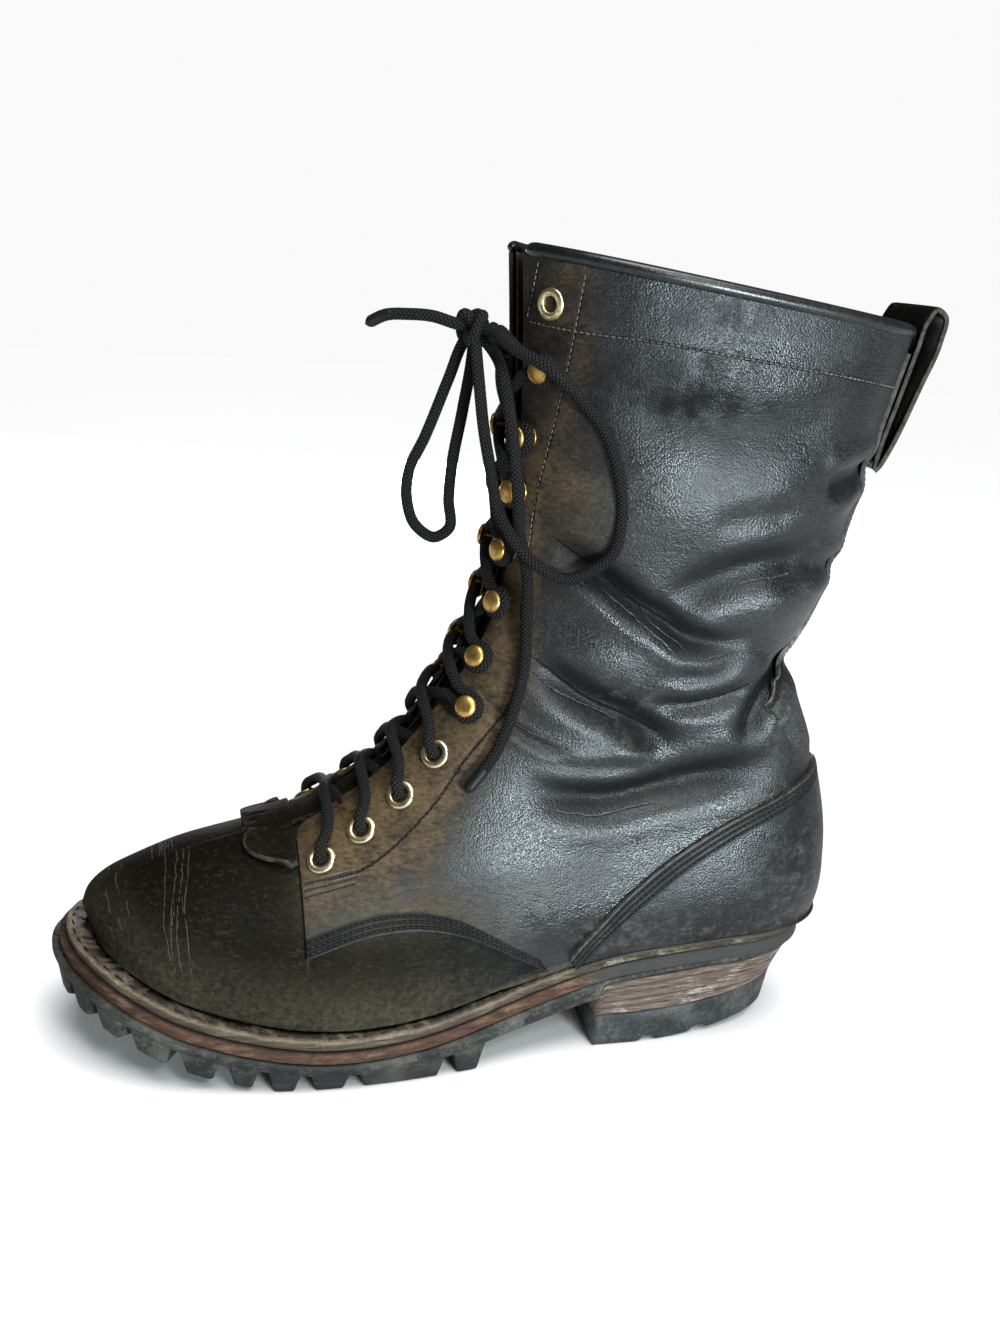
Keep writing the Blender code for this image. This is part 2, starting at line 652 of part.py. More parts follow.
def lug_solids():
    """The edge lugs, each with sloping ends, and the chevron cleats between them."""
    outer = lug_path(SIDE_STEP)
    foot = lug_path(SIDE_STEP + LUG_DRAFT)
    inner = lug_path(SIDE_STEP + LUG_REACH)
    run = np.concatenate([[0.0], np.cumsum(np.linalg.norm(np.diff(outer, axis=0), axis=1))])
    run -= run[len(outer) // 2]
    slots = sorted([-slot for slot in LUG_SLOTS] + list(LUG_SLOTS))
    solids = []
    for begin, end in zip(slots, slots[1:]):
        loops = []
        for line, draft, height, lift in (
            (foot, LUG_DRAFT, lug_bottom, 0.0),
            (outer, 0.0, outsole_bottom, LUG_ROOT),
        ):
            places = np.linspace(begin + 0.5 * LUG_SLOT + draft, end - 0.5 * LUG_SLOT - draft, 3)
            places = places if draft else np.linspace(begin + 0.3 * LUG_SLOT, end - 0.3 * LUG_SLOT, 3)
            there = np.stack([np.interp(places, run, line[:, i]) for i in (0, 1)], axis=1)
            back = np.stack([np.interp(places[::-1], run, inner[:, i]) for i in (0, 1)], axis=1)
            loops.append(flat_loop(np.concatenate([there, back]), height, lift))
        solids.append(prism(*loops))
    for x in CLEAT_X:
        lateral, medial, axis = outline(x)
        room = from_table(EDGE, EDGE_COLUMNS, "outsole", x) - SIDE_STEP - LUG_REACH - LUG_SLOT
        low, high = axis - lateral - room, axis + medial + room
        front = [(x, low), (x - CLEAT_SWEEP, axis), (x, high)]
        loop = np.array(front + [(place + CLEAT_LENGTH, y) for place, y in front[::-1]])
        solids.append(prism(flat_loop(loop, lug_bottom), flat_loop(loop, outsole_bottom, LUG_ROOT)))
    return solids


def make_outsole(parts, cutters, material):
    edge, low_edge = edge_loop("outsole"), edge_loop("outsole", SIDE_STEP)
    loops = [
        flat_loop(low_edge, outsole_bottom),
        flat_loop(low_edge, midsole_bottom, -GAP - SIDE_BAND - SIDE_CHAMFER),
        flat_loop(edge, midsole_bottom, -GAP - SIDE_BAND),
        flat_loop(edge, midsole_bottom, -GAP),
    ]
    outsole = loft("outsole", loops, material, parts)
    boolean(outsole, as_cutter(joined("lugs", lug_solids(), None, cutters)), "UNION")
    return outsole


def heel_loop(share, shrink=1.0, stations=12):
    """The heel's outline at a share of its height, from the lateral end of the breast to the medial one."""
    x = HEEL_BREAST_X + (HEEL_X - HEEL_BREAST_X) * np.sin(np.linspace(0.0, math.pi / 2, stations))
    lateral, medial, axis = outline(x)
    rear = from_table(HEEL_TAPER, HEEL_COLUMNS, "rear_x", share)
    width = from_table(HEEL_TAPER, HEEL_COLUMNS, "width", share) * shrink
    place = HEEL_BREAST_X + (x - HEEL_BREAST_X) * (rear - HEEL_BREAST_X) / (HEEL_X - HEEL_BREAST_X)
    middle = 0.5 * (HEEL_BREAST_X + rear)
    place = middle + (place - middle) * shrink
    there = np.stack([place, axis - lateral * width], axis=1)
    back = np.stack([place, axis + medial * width], axis=1)[-2::-1]
    return np.concatenate([there, there[-1:], back])


def top_lift_height(x):
    share = (x - HEEL_BREAST_X) / (HEEL_TAPER[0][1] - HEEL_BREAST_X)
    return TOP_LIFT_FRONT + share * (TOP_LIFT_REAR - TOP_LIFT_FRONT)


def make_heel(parts, cutters, leather, rubber):
    """The stack of leather lifts and the rubber top lift that meets the floor."""
    for number in range(HEEL_LIFTS):
        loops = []
        for step, lift in ((number, GAP), (number + 1, 0.0)):
            share = step / HEEL_LIFTS
            loop = heel_loop(0.5 + 0.5 * share)
            low = top_lift_height(loop[:, 0])
            height = low + share * (outsole_bottom(loop[:, 0]) - GAP - low) + lift
            loops.append(np.column_stack([loop, height]))
        joined(f"heel_lift_{number + 1}", [prism(*loops)], leather, parts)
    tread, wall, top = heel_loop(0.0, TOP_LIFT_CHAMFER), heel_loop(0.0), heel_loop(0.5)
    flat = np.zeros(len(tread))
    loops = [
        np.column_stack([tread, flat]),
        np.column_stack([wall, flat + SIDE_STEP]),
        np.column_stack([top, top_lift_height(top[:, 0])]),
    ]
    lift = joined("heel_top_lift", [prism(*loops)], rubber, parts)
    grooves = []
    for x in TOP_LIFT_GROOVES:
        for side in (LATERAL, MEDIAL):
            near = side * GROOVE_REACH
            end = x + GROOVE_WIDTH
            loop = np.array([(x, near), (x, near * 2), (end, near * 2), (end, near)])
            below = np.column_stack([loop, np.full(4, -GROOVE_DEPTH)])
            grooves.append(prism(below, below + (0.0, 0.0, 2 * GROOVE_DEPTH)))
    boolean(lift, as_cutter(joined("heel_grooves", grooves, None, cutters)), "DIFFERENCE")


def upper_line(row, side, stepped, crest=False):
    """One line of the upper's sheet, from the seat to the throat's edge, or over the crest."""
    lowest = -float(seat_angle(row, side))
    throat = float(angle_at_half(row, THROAT_HALF, side))
    if crest:
        angles = np.linspace(throat, math.pi / 2, 3)
        return lifted(np.full(3, row), angles, side, np.zeros(3))
    edge_row = min(max(row, QUARTER_ROW), STEP_END_ROW)
    share = share_at_edge(edge_row, QUARTER_EDGE) if row < STEP_END_ROW else 0.0
    split = angle_at_share(row, share, side) if share else lowest
    low = np.linspace(lowest, split, 3)
    high = split + (throat - split) * np.linspace(0.0, 1.0, 8)
    lift = QUARTER_STEP if stepped else 0.0
    low_lift = QUARTER_STEP if row > STEP_END_ROW else 0.0
    angles = np.concatenate([low, high])
    points = lifted(np.full(len(angles), row), angles, side, np.repeat([low_lift, lift], [3, 8]))
    if row <= HEEL_ROW:
        on_seat = np.isclose(angles, lowest)
        points[on_seat, 2] = section(row)["seat_z"] + SEAT_RISE
    return points


def make_upper(parts, cutters, material):
    """The vamp and quarters as one hollow wall, with the quarter's lap over the vamp as a step in it."""
    patches = []
    vamp = [(row, False) for row in VAMP_ROWS]
    quarter = [(row, True) for row in QUARTER_ROWS]
    for side in (LATERAL, MEDIAL):
        patches.append([upper_line(row, side, stepped) for row, stepped in vamp + quarter])
        patches.append([upper_line(row, side, False, crest=True) for row in VAMP_ROWS])
    upper = shell("upper", patches, WALL, material, parts)
    face_outwards(upper.data, FOOT_MIDDLE)
    sheet = sheet_tree(upper.data)
    holes = []
    for x, z in EYELETS + TOP_EYELET:
        for side in (LATERAL, MEDIAL):
            frame = station_frame(x, z, side, sheet)
            turn = np.linspace(0.0, 2 * math.pi, TURN_STEPS, endpoint=False)
            ring = [(EYELET_HOLE * math.cos(a), EYELET_HOLE * math.sin(a)) for a in turn]
            rings = [[frame @ Vector((*point, end)) for point in ring] for end in (-WALL * 2, WALL * 2)]
            faces = grid_faces(2, TURN_STEPS, closed=True)
            faces += [tuple(range(TURN_STEPS)), tuple(range(TURN_STEPS, 2 * TURN_STEPS))]
            holes.append((rings[0] + rings[1], faces))
    boolean(upper, as_cutter(joined("eyelet_holes", holes, None, cutters)), "DIFFERENCE")
    return sheet


def station_frame(x, z, side, sheet):
    """Place and turn, in millimetres, of a fitting on the facing: its own Z stands off the leather."""
    row, angle = locate(x, z, side)
    near, out, _, _ = sheet.find_nearest(metres(lifted(row, angle, side, QUARTER_STEP)))
    turn = out.to_track_quat("Z", "Y")
    angles = np.linspace(0.0, 2 * math.pi, TURN_STEPS, endpoint=False)
    ring = [Vector((math.cos(a), math.sin(a), 0.0)) * FLANGE * MM for a in angles]
    rim = [sheet.find_nearest(near + turn @ point) for point in ring]
    out = sum((hit[1] for hit in rim), Vector()).normalized()
    rise = max((hit[0] - near).dot(out) for hit in rim)
    place = (near + out * max(rise, 0.0)) / MM + ORIGIN
    return Matrix.Translation(place) @ out.to_track_quat("Z", "Y").to_matrix().to_4x4()


def make_tongue(parts, material):
    """The tongue lies under the facings, from under the vamp to just over the collar."""
    patch = []
    for row in TONGUE_ROWS:
        depth = float(from_table(TONGUE, TONGUE_COLUMNS, "depth", row))
        line = []
        for side in (LATERAL, MEDIAL):
            edge = float(angle_at_half(row, TONGUE_HALF, side, most=0.9))
            angles = np.linspace(edge, math.pi / 2, 5)
            points = lifted(np.full(5, row), angles, side, np.full(5, -depth))
            line += list(points if side == LATERAL else points[-2::-1])
        patch.append(line)
    tongue = shell("tongue", [patch], TONGUE_THICK, material, parts)
    face_outwards(tongue.data, FOOT_MIDDLE)
    return tongue


def make_counter(parts, material):
    """The heel's counter: from the feather line to its own top edge, round the back."""
    rows = [row for row in QUARTER_ROWS if COUNTER_ROWS[0] < row < COUNTER_ROWS[1]]
    rows = [COUNTER_ROWS[0], *rows, COUNTER_ROWS[1]]
    rows = sorted(rows + [0.5 * (low + high) for low, high in zip(rows[1:], rows[2:])])
    lift = QUARTER_STEP + OVERLAY_GAP + OVERLAY
    patches = []
    for side in (LATERAL, MEDIAL):
        patch = []
        for row in rows:
            low = -float(seat_angle(row, side))
            high = max(angle_at_share(row, share_at_edge(row, COUNTER_EDGE), side), low + 0.01)
            angles = np.linspace(low, high, 6)
            points = lifted(np.full(6, row), angles, side, np.full(6, lift))
            if row <= HEEL_ROW:
                points[0, 2] = section(row)["seat_z"] + COUNTER_RISE
            patch.append(points)
        patches.append(patch)
    counter = shell("counter", patches, OVERLAY, material, parts)
    face_outwards(counter.data, FOOT_MIDDLE)
    return counter


def make_backstay(parts, material):
    """The strip over the back seam, from the counter's top edge to the collar, flared at its foot."""
    lift = QUARTER_STEP + OVERLAY_GAP + OVERLAY
    patch = []
    for row in BACKSTAY_ROWS:
        half = from_table(BACKSTAY, BACKSTAY_COLUMNS, "half", row)
        line = []
        for side in (LATERAL, MEDIAL):
            width, _ = half_width(section(row), side)
            low = float(np.arccos(cosine_at(half / width, section(row)["low_full"])))
            points = lifted(np.full(5, row), np.linspace(-low, -math.pi / 2, 5), side, np.full(5, lift))
            line += list(points if side == LATERAL else points[-2::-1])
        patch.append(line)
    backstay = shell("backstay", [patch], OVERLAY, material, parts)
    face_outwards(backstay.data, FOOT_MIDDLE)
    return backstay


def kiltie_size(name, row):
    """A size of the kiltie at a row, on straight lines between the table's rows."""
    return np.interp(row, column(KILTIE, KILTIE_COLUMNS, "row"), column(KILTIE, KILTIE_COLUMNS, name))


def make_kiltie(parts, material):
    """The false tongue: a flap on the vamp with a toothed front, and a neck up the throat."""
    patch = []
    for row in KILTIE_ROWS:
        lift = kiltie_size("lift", row)
        line = []
        for side in (LATERAL, MEDIAL):
            edge = float(angle_at_half(row, kiltie_size("half", row), side, most=0.9))
            share = np.linspace(0.0, 1.0, KILTIE_TEETH + 1)
            angles = edge + (math.pi / 2 - edge) * share
            rows = np.full(len(angles), row)
            if row == KILTIE_ROWS[0]:
                rows = rows + KILTIE_TOOTH * (np.arange(len(angles)) % 2)
            points = lifted(rows, angles, side, np.full(len(angles), lift + KILTIE_THICK))
            line += list(points if side == LATERAL else points[-2::-1])
        patch.append(line)
    kiltie = shell("kiltie", [patch], KILTIE_THICK, material, parts)
    face_outwards(kiltie.data, FOOT_MIDDLE)
    return kiltie


def tube(name, points, radius, material, parts, sides=2):
    """A round cord or roll along points in millimetres."""
    curve = bpy.data.curves.new(name, "CURVE")
    curve.dimensions = "3D"
    curve.bevel_depth = radius * MM
    curve.bevel_resolution = sides
    curve.use_fill_caps = True
    spline = curve.splines.new("POLY")
    spline.points.add(len(points) - 1)
    for corner, point in zip(spline.points, points):
        corner.co = (*metres(point), 1.0)
    return add_object(name, curve, material, parts)


def as_mesh(thing, parts):
    """The same piece as a mesh with welded caps, for a Boolean."""
    graph = bpy.context.evaluated_depsgraph_get()
    mesh = bpy.data.meshes.new_from_object(thing.evaluated_get(graph))
    shape = bmesh.new()
    shape.from_mesh(mesh)
    bmesh.ops.remove_doubles(shape, verts=shape.verts, dist=1e-6)
    bmesh.ops.recalc_face_normals(shape, faces=shape.faces)
    shape.to_mesh(mesh)
    shape.free()
    name, matrix = thing.name, thing.matrix_world.copy()
    bpy.data.objects.remove(thing, do_unlink=True)
    solid = add_object(name, mesh, None, parts)
    solid.matrix_world = matrix
    return solid


def make_collar_roll(parts, material):
    """The rolled binding along the collar's edge, from one facing round the back to the other."""
    points = []
    for side in (LATERAL, MEDIAL):
        throat = float(angle_at_half(COLLAR_ROW, THROAT_HALF, side))
        angles = np.linspace(throat, -math.pi / 2, 12)
        line = lifted(np.full(12, COLLAR_ROW), angles, side, np.full(12, QUARTER_STEP - 0.5 * WALL))
        points += list(line if side == LATERAL else line[-2::-1])
    rise = np.array((0.0, 0.0, COLLAR_ROLL + GAP + COLLAR_RISE))
    return tube("collar_roll", [point + rise for point in points], COLLAR_ROLL, material, parts)


def make_pull_loop(parts, material):
    """The leather strap at the back, folded on itself and bent round the shaft."""
    knots = np.array(LOOP_PATH)
    run = np.concatenate([[0.0], np.cumsum(np.linalg.norm(np.diff(knots, axis=0), axis=1))])
    places = np.linspace(0.0, run[-1], LOOP_STATIONS)
    line = np.stack([smooth(run, knots[:, i], places) for i in (0, 1)], axis=1)
    along = np.roll(line, -1, axis=0) - np.roll(line, 1, axis=0)
    across = np.stack([along[:, 1], -along[:, 0]], axis=1) / np.linalg.norm(along, axis=1, keepdims=True)
    outer, inner = line + across * 0.5 * LOOP_THICK, line - across * 0.5 * LOOP_THICK
    stations = np.linspace(-0.5, 0.5, 4) * LOOP_WIDTH
    points, faces = [], []
    curve = from_table(LOOP_CURVE, LOOP_CURVE_COLUMNS, "share", places / run[-1])
    for y in stations:
        bend = curve * y * y / (2.0 * LOOP_BACK_RADIUS)
        for ring in (outer, inner):
            points += [(x - back, y, z) for (x, z), back in zip(ring, bend)]
    count = len(line)
    for n in range(len(stations) - 1):
        for ring in (0, 1):
            low, high = (2 * n + ring) * count, (2 * n + 2 + ring) * count
            for i in range(count):
                j = (i + 1) % count
                faces.append((low + i, low + j, high + j, high + i))
    for start in (0, (len(stations) - 1) * 2 * count):
        for i in range(count):
            j = (i + 1) % count
            faces.append((start + i, start + j, start + count + j, start + count + i))
    return add_object("pull_loop", mesh_of_faces("pull_loop", points, faces), material, parts)


def turned(name, profile, frame, steps, material, parts):
    """A fitting turned about its own Z axis and set on the facing."""
    mesh = bpy.data.meshes.new(name)
    closed = profile[0][0] > 0.0
    edges = [(i, i + 1) for i in range(len(profile) - 1)]
    edges += [(len(profile) - 1, 0)] if closed else []
    mesh.from_pydata([(radius * MM, 0.0, height * MM) for radius, height in profile], edges, [])
    fitting = add_object(name, mesh, material, parts)
    screw = fitting.modifiers.new("turn", "SCREW")
    screw.steps = screw.render_steps = steps
    screw.use_merge_vertices = True
    screw.merge_threshold = 1e-5
    screw.use_normal_calculate = True
    screw.use_normal_flip = True
    place = frame.copy()
    place.translation = metres(frame.translation)
    fitting.matrix_world = place
    return fitting


def make_fittings(sheet, parts, material):
    """Eyelets, hooks and the open eyelet at the top of each facing, from the bottom up."""
    for side, word in ((LATERAL, "lateral"), (MEDIAL, "medial")):
        for number, (x, z) in enumerate(EYELETS + TOP_EYELET, 1):
            frame = station_frame(x, z, side, sheet)
            turned(f"eyelet_{word}_{number}", EYELET_PROFILE, frame, TURN_STEPS, material, parts)
        for number, (x, z) in enumerate(HOOKS, 1):
            frame = station_frame(x, z, side, sheet)
            turned(f"hook_{word}_{number}", HOOK_PROFILE, frame, HOOK_STEPS, material, parts)


def lace_turn(x, z, side, clear):
    """Where the lace turns beside a fitting: towards the throat, clear of it and of the leather."""
    row, angle = locate(x, z, side)
    here = surface(row, angle, side)
    inward = surface(row, angle + 0.02, side) - here
    step = 0.02 * clear / np.linalg.norm(inward)
    return lifted(row, angle + step, side, QUARTER_STEP + LACE_RISE)


def lace_stations():
    """Places, seen from the side, where the lace comes to each fitting and leaves it, and its clearance."""
    places = np.array(EYELETS + HOOKS, float)
    along = np.gradient(places, axis=0)
    along *= LACE_TURN / np.linalg.norm(along, axis=1, keepdims=True)
    clears = [LACE_CLEAR_EYELET] * len(EYELETS) + [LACE_CLEAR_HOOK] * len(HOOKS)
    return list(zip(places - along, places + along, clears))


def make_lace_crossings(parts, cutters, material):
    """Two zigzags of the lace over the throat, joined where they cross, and run on to the knot."""
    stations = lace_stations()
    lines = []
    for first in (LATERAL, MEDIAL):
        line = [lace_turn(*stations[0][0], MEDIAL, LACE_CLEAR_EYELET)] if first == LATERAL else []
        side = first
        for number, (come, leave, clear) in enumerate(stations):
            if line:
                before = stations[max(number - 1, 0)][1]
                row = 0.5 * (locate(*come, side)[0] + locate(*before, -side)[0])
                line.append(lifted(row, math.pi / 2, LATERAL, LACE_CROSS_RISE))
            line += [lace_turn(*come, side, clear), lace_turn(*leave, side, clear)]
            side = -side
        line.append(np.array(KNOT) + (KNOT_ENTRY[0], -side * KNOT_ENTRY[1], KNOT_ENTRY[2]))
        lines.append(line)
    one, other = (
        as_mesh(tube(name, line, LACE_RADIUS, None, parts, 1), home)
        for name, line, home in zip(("lace_crossings", "second_lace"), lines, (parts, cutters))
    )
    one.data.materials.append(material)
    boolean(one, as_cutter(other), "UNION")
    return one


def smooth_route(points, spacing):
    """A smooth line through a route's own points, with a point at each step along it."""
    knots = np.array(points, float)
    run = np.concatenate([[0.0], np.cumsum(np.linalg.norm(np.diff(knots, axis=0), axis=1))])
    count = max(3, int(round(run[-1] / spacing)) + 1)
    places = np.linspace(0.0, run[-1], count)
    return np.stack([smooth(run, knots[:, i], places) for i in range(3)], axis=1)


def make_bow(parts, material):
    """The knot, and the loops and ends that hang from it."""
    mesh = bpy.data.meshes.new("lace_knot")
    shape = bmesh.new()
    bmesh.ops.create_uvsphere(shape, u_segments=10, v_segments=6, radius=MM)
    size = Matrix.Diagonal((*KNOT_SIZE, 1.0))
    bmesh.ops.transform(shape, matrix=Matrix.Translation(metres(KNOT)) @ size, verts=shape.verts)
    shape.to_mesh(mesh)
    shape.free()
    add_object("lace_knot", mesh, material, parts)
    for name, route in BOW_ROUTES.items():
        tube(name, smooth_route(route, BOW_SPACING), LACE_RADIUS, material, parts)


def main():
    for thing in list(bpy.data.objects):
        bpy.data.objects.remove(thing, do_unlink=True)
    parts = scene_collection("wildland_fire_boot")
    cutters = scene_collection("cutters", hidden=True)
    black_leather = finish("black_leather", (0.02, 0.022, 0.024), 0.45)
    welt_leather = finish("welt_leather", (0.33, 0.27, 0.19), 0.75)
    brown_leather = finish("brown_leather", (0.17, 0.075, 0.04), 0.7)
    insole_leather = finish("insole_leather", (0.25, 0.17, 0.1), 0.8)
    rubber = finish("rubber", (0.03, 0.033, 0.034), 0.8)
    brass = finish("brass", (0.62, 0.45, 0.2), 0.3, 1.0)
    lace = finish("lace", (0.012, 0.012, 0.013), 0.9)
    make_outsole(parts, cutters, rubber)
    make_midsole(parts, brown_leather)
    make_strip("welt", WELT_X, parts, welt_leather)
    make_strip("heel_rand", RAND_X, parts, welt_leather)
    make_heel(parts, cutters, brown_leather, rubber)
    make_insole(parts, insole_leather)
    sheet = make_upper(parts, cutters, black_leather)
    make_tongue(parts, black_leather)
    make_counter(parts, black_leather)
    make_backstay(parts, black_leather)
    make_collar_roll(parts, black_leather)
    make_pull_loop(parts, black_leather)
    make_kiltie(parts, brown_leather)
    make_fittings(sheet, parts, brass)
    make_lace_crossings(parts, cutters, lace)
    make_bow(parts, lace)


if __name__ == "__main__":
    main()
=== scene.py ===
"""Looks of the left boot of a pair of wildland fire boots: leather, sole, brass, lace and studio.

Sizes are in millimetres in the boot's table frame: the toe points along -X, the lateral side is -Y and
the floor is z = 0. to_frame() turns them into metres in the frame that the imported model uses.
"""

import enum
import logging
import math
from dataclasses import dataclass, field
from typing import Callable, Iterable, Sequence

import bpy
import numpy as np
from mathutils import Matrix, Vector


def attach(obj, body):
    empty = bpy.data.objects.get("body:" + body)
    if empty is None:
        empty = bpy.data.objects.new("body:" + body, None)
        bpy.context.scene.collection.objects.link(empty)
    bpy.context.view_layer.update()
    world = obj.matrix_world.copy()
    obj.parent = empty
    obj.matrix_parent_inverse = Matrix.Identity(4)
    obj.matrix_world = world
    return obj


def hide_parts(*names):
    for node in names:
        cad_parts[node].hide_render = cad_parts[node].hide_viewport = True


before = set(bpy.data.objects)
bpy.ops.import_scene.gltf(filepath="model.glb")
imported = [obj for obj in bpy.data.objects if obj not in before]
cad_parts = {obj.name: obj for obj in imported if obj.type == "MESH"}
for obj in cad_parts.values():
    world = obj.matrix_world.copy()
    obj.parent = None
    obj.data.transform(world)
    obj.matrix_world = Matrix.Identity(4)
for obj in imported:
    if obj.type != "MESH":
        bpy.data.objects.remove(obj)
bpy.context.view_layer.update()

LOG = logging.getLogger("boot")
Array = np.ndarray
Line = tuple[tuple[float, float], ...]
Point = tuple[float, float, float]
Colour = Point
Thing = bpy.types.Object
Finish = bpy.types.Material
Number = "Shade | float"
MM = 0.001
ORIGIN = np.array((1.0, 0.96, 0.0))
QUARTER_TURN = math.pi / 2
FACE = 1.6


class Side(enum.IntEnum):
    """The two sides of the boot, as the sign of their Y."""

    LATERAL = -1
    MEDIAL = 1

    @property
    def word(self) -> str:
        """The side's name in the names of pieces."""
        return self.name.lower()

    @property
    def other(self) -> "Side":
        """The side across the throat."""
        return Side(-self.value)


class Slot(enum.Enum):
    """The record's material slots."""

    BLACK = "black_leather"
    WELT = "welt_leather"
    BROWN = "brown_leather"
    INSOLE = "insole_leather"
    RUBBER = "rubber"
    BRASS = "brass"
    LACE = "lace"


def to_frame(points: Array) -> Array:
    """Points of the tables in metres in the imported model's frame."""
    return (np.asarray(points, float) - ORIGIN) * MM


def smooth(knots: Sequence[float], values: Sequence[float], at: Array) -> Array:
    """A cubic through the knots, straight beyond the two ends.

    Args:
        knots: rising places.
        values: the value at each of them.
        at: where to read the cubic.

    Returns:
        The values read.
    """
    knots = np.asarray(knots, float)
    values = np.asarray(values, float)
    at = np.asarray(at, float)
    slopes = np.gradient(values, knots)
    low = np.clip(np.searchsorted(knots, at) - 1, 0, len(knots) - 2)
    step = knots[low + 1] - knots[low]
    place = (at - knots[low]) / step
    share = np.clip(place, 0.0, 1.0)
    rise = share * share * (3.0 - 2.0 * share)
    lead = share * (1.0 - share) ** 2 * slopes[low]
    trail = share * share * (share - 1.0) * slopes[low + 1]
    inside = values[low] * (1.0 - rise) + values[low + 1] * rise + step * (lead + trail)
    beyond = np.where(place < 0.0, slopes[low], slopes[low + 1])
    return inside + beyond * step * (place - share)


def from_table(table: Sequence[Sequence[float]], column: int, at: Array) -> Array:
    """A column of a table read at places in the table's first column."""
    rows = np.array(table, float)
    return smooth(rows[:, 0], rows[:, column], at)


def lengths_along(points: Array) -> Array:
    """The distance from a line's start to each of its points."""
    steps = np.linalg.norm(np.diff(points, axis=0), axis=1)
    return np.concatenate([[0.0], np.cumsum(steps)])


def smooth_route(points: Sequence[Sequence[float]], spacing: float) -> Array:
    """A smooth line through a route's own points, with a point at each step along it.

    Args:
        points: the route's points.
        spacing: the step along it.

    Returns:
        The line's points.
    """
    knots = np.array(points, float)
    run = lengths_along(knots)
    count = max(3, int(round(run[-1] / spacing)) + 1)
    places = np.linspace(0.0, run[-1], count)
    return np.stack([smooth(run, knots[:, i], places) for i in range(knots.shape[1])], axis=1)


def near_line(line: Sequence[Sequence[float]], x: Array, z: Array) -> tuple[Array, Array]:
    """How far points lie from a line drawn from the side.

    Args:
        line: the line's points, as x and z.
        x: the points' places along the boot.
        z: the points' heights.

    Returns:
        The distance, positive on the left of the line's own direction, and the share of the way along it.
    """
    best = np.full(x.shape, 1e9)
    signed = np.full(x.shape, 1e9)
    along = np.zeros(x.shape)
    points = smooth_route(line, 3.0)
    run = lengths_along(points)
    for index in range(len(points) - 1):
        (ax, az), (bx, bz) = points[index], points[index + 1]
        length = math.hypot(bx - ax, bz - az)
        share = np.clip(((x - ax) * (bx - ax) + (z - az) * (bz - az)) / length**2, 0.0, 1.0)
        off_x, off_z = x - ax - share * (bx - ax), z - az - share * (bz - az)
        distance = np.hypot(off_x, off_z)
        nearer = distance < best
        left = (bx - ax) * off_z - (bz - az) * off_x
        best = np.where(nearer, distance, best)
        signed = np.where(nearer, np.where(left >= 0.0, distance, -distance), signed)
        along = np.where(nearer, (run[index] + share * length) / run[-1], along)
    return signed, along


def fade(value: Array, start: float, end: float) -> Array:
    """A smooth step from 0 at start to 1 at end."""
    share = np.clip((np.asarray(value, float) - start) / (end - start), 0.0, 1.0)
    return share * share * (3.0 - 2.0 * share)


class Shade:
    """A value on its way through a material's nodes: sums on it add Math nodes."""

    def __init__(self, graph: "Graph", socket: bpy.types.NodeSocket) -> None:
        """Keep the material's graph and the socket that gives the value."""
        self.graph = graph
        self.socket = socket

    def _math(self, operation: str, first: Number, second: Number = 0.0) -> "Shade":
        """A Math node of one or two values."""
        return self.graph.node("ShaderNodeMath", {"operation": operation}, {0: first, 1: second})

    def __add__(self, other: Number) -> "Shade":
        """Sum."""
        return self._math("ADD", self, other)

    __radd__ = __add__

    def __sub__(self, other: Number) -> "Shade":
        """Difference."""
        return self._math("SUBTRACT", self, other)

    def __rsub__(self, other: Number) -> "Shade":
        """Difference from a number."""
        return self._math("SUBTRACT", other, self)

    def __mul__(self, other: Number) -> "Shade":
        """Product."""
        return self._math("MULTIPLY", self, other)

    __rmul__ = __mul__

    def sine(self) -> "Shade":
        """Sine of an angle in radians."""
        return self._math("SINE", self)

    def size(self) -> "Shade":
        """Value without its sign."""
        return self._math("ABSOLUTE", self)

    def most(self, other: Number) -> "Shade":
        """The larger of two values."""
        return self._math("MAXIMUM", self, other)


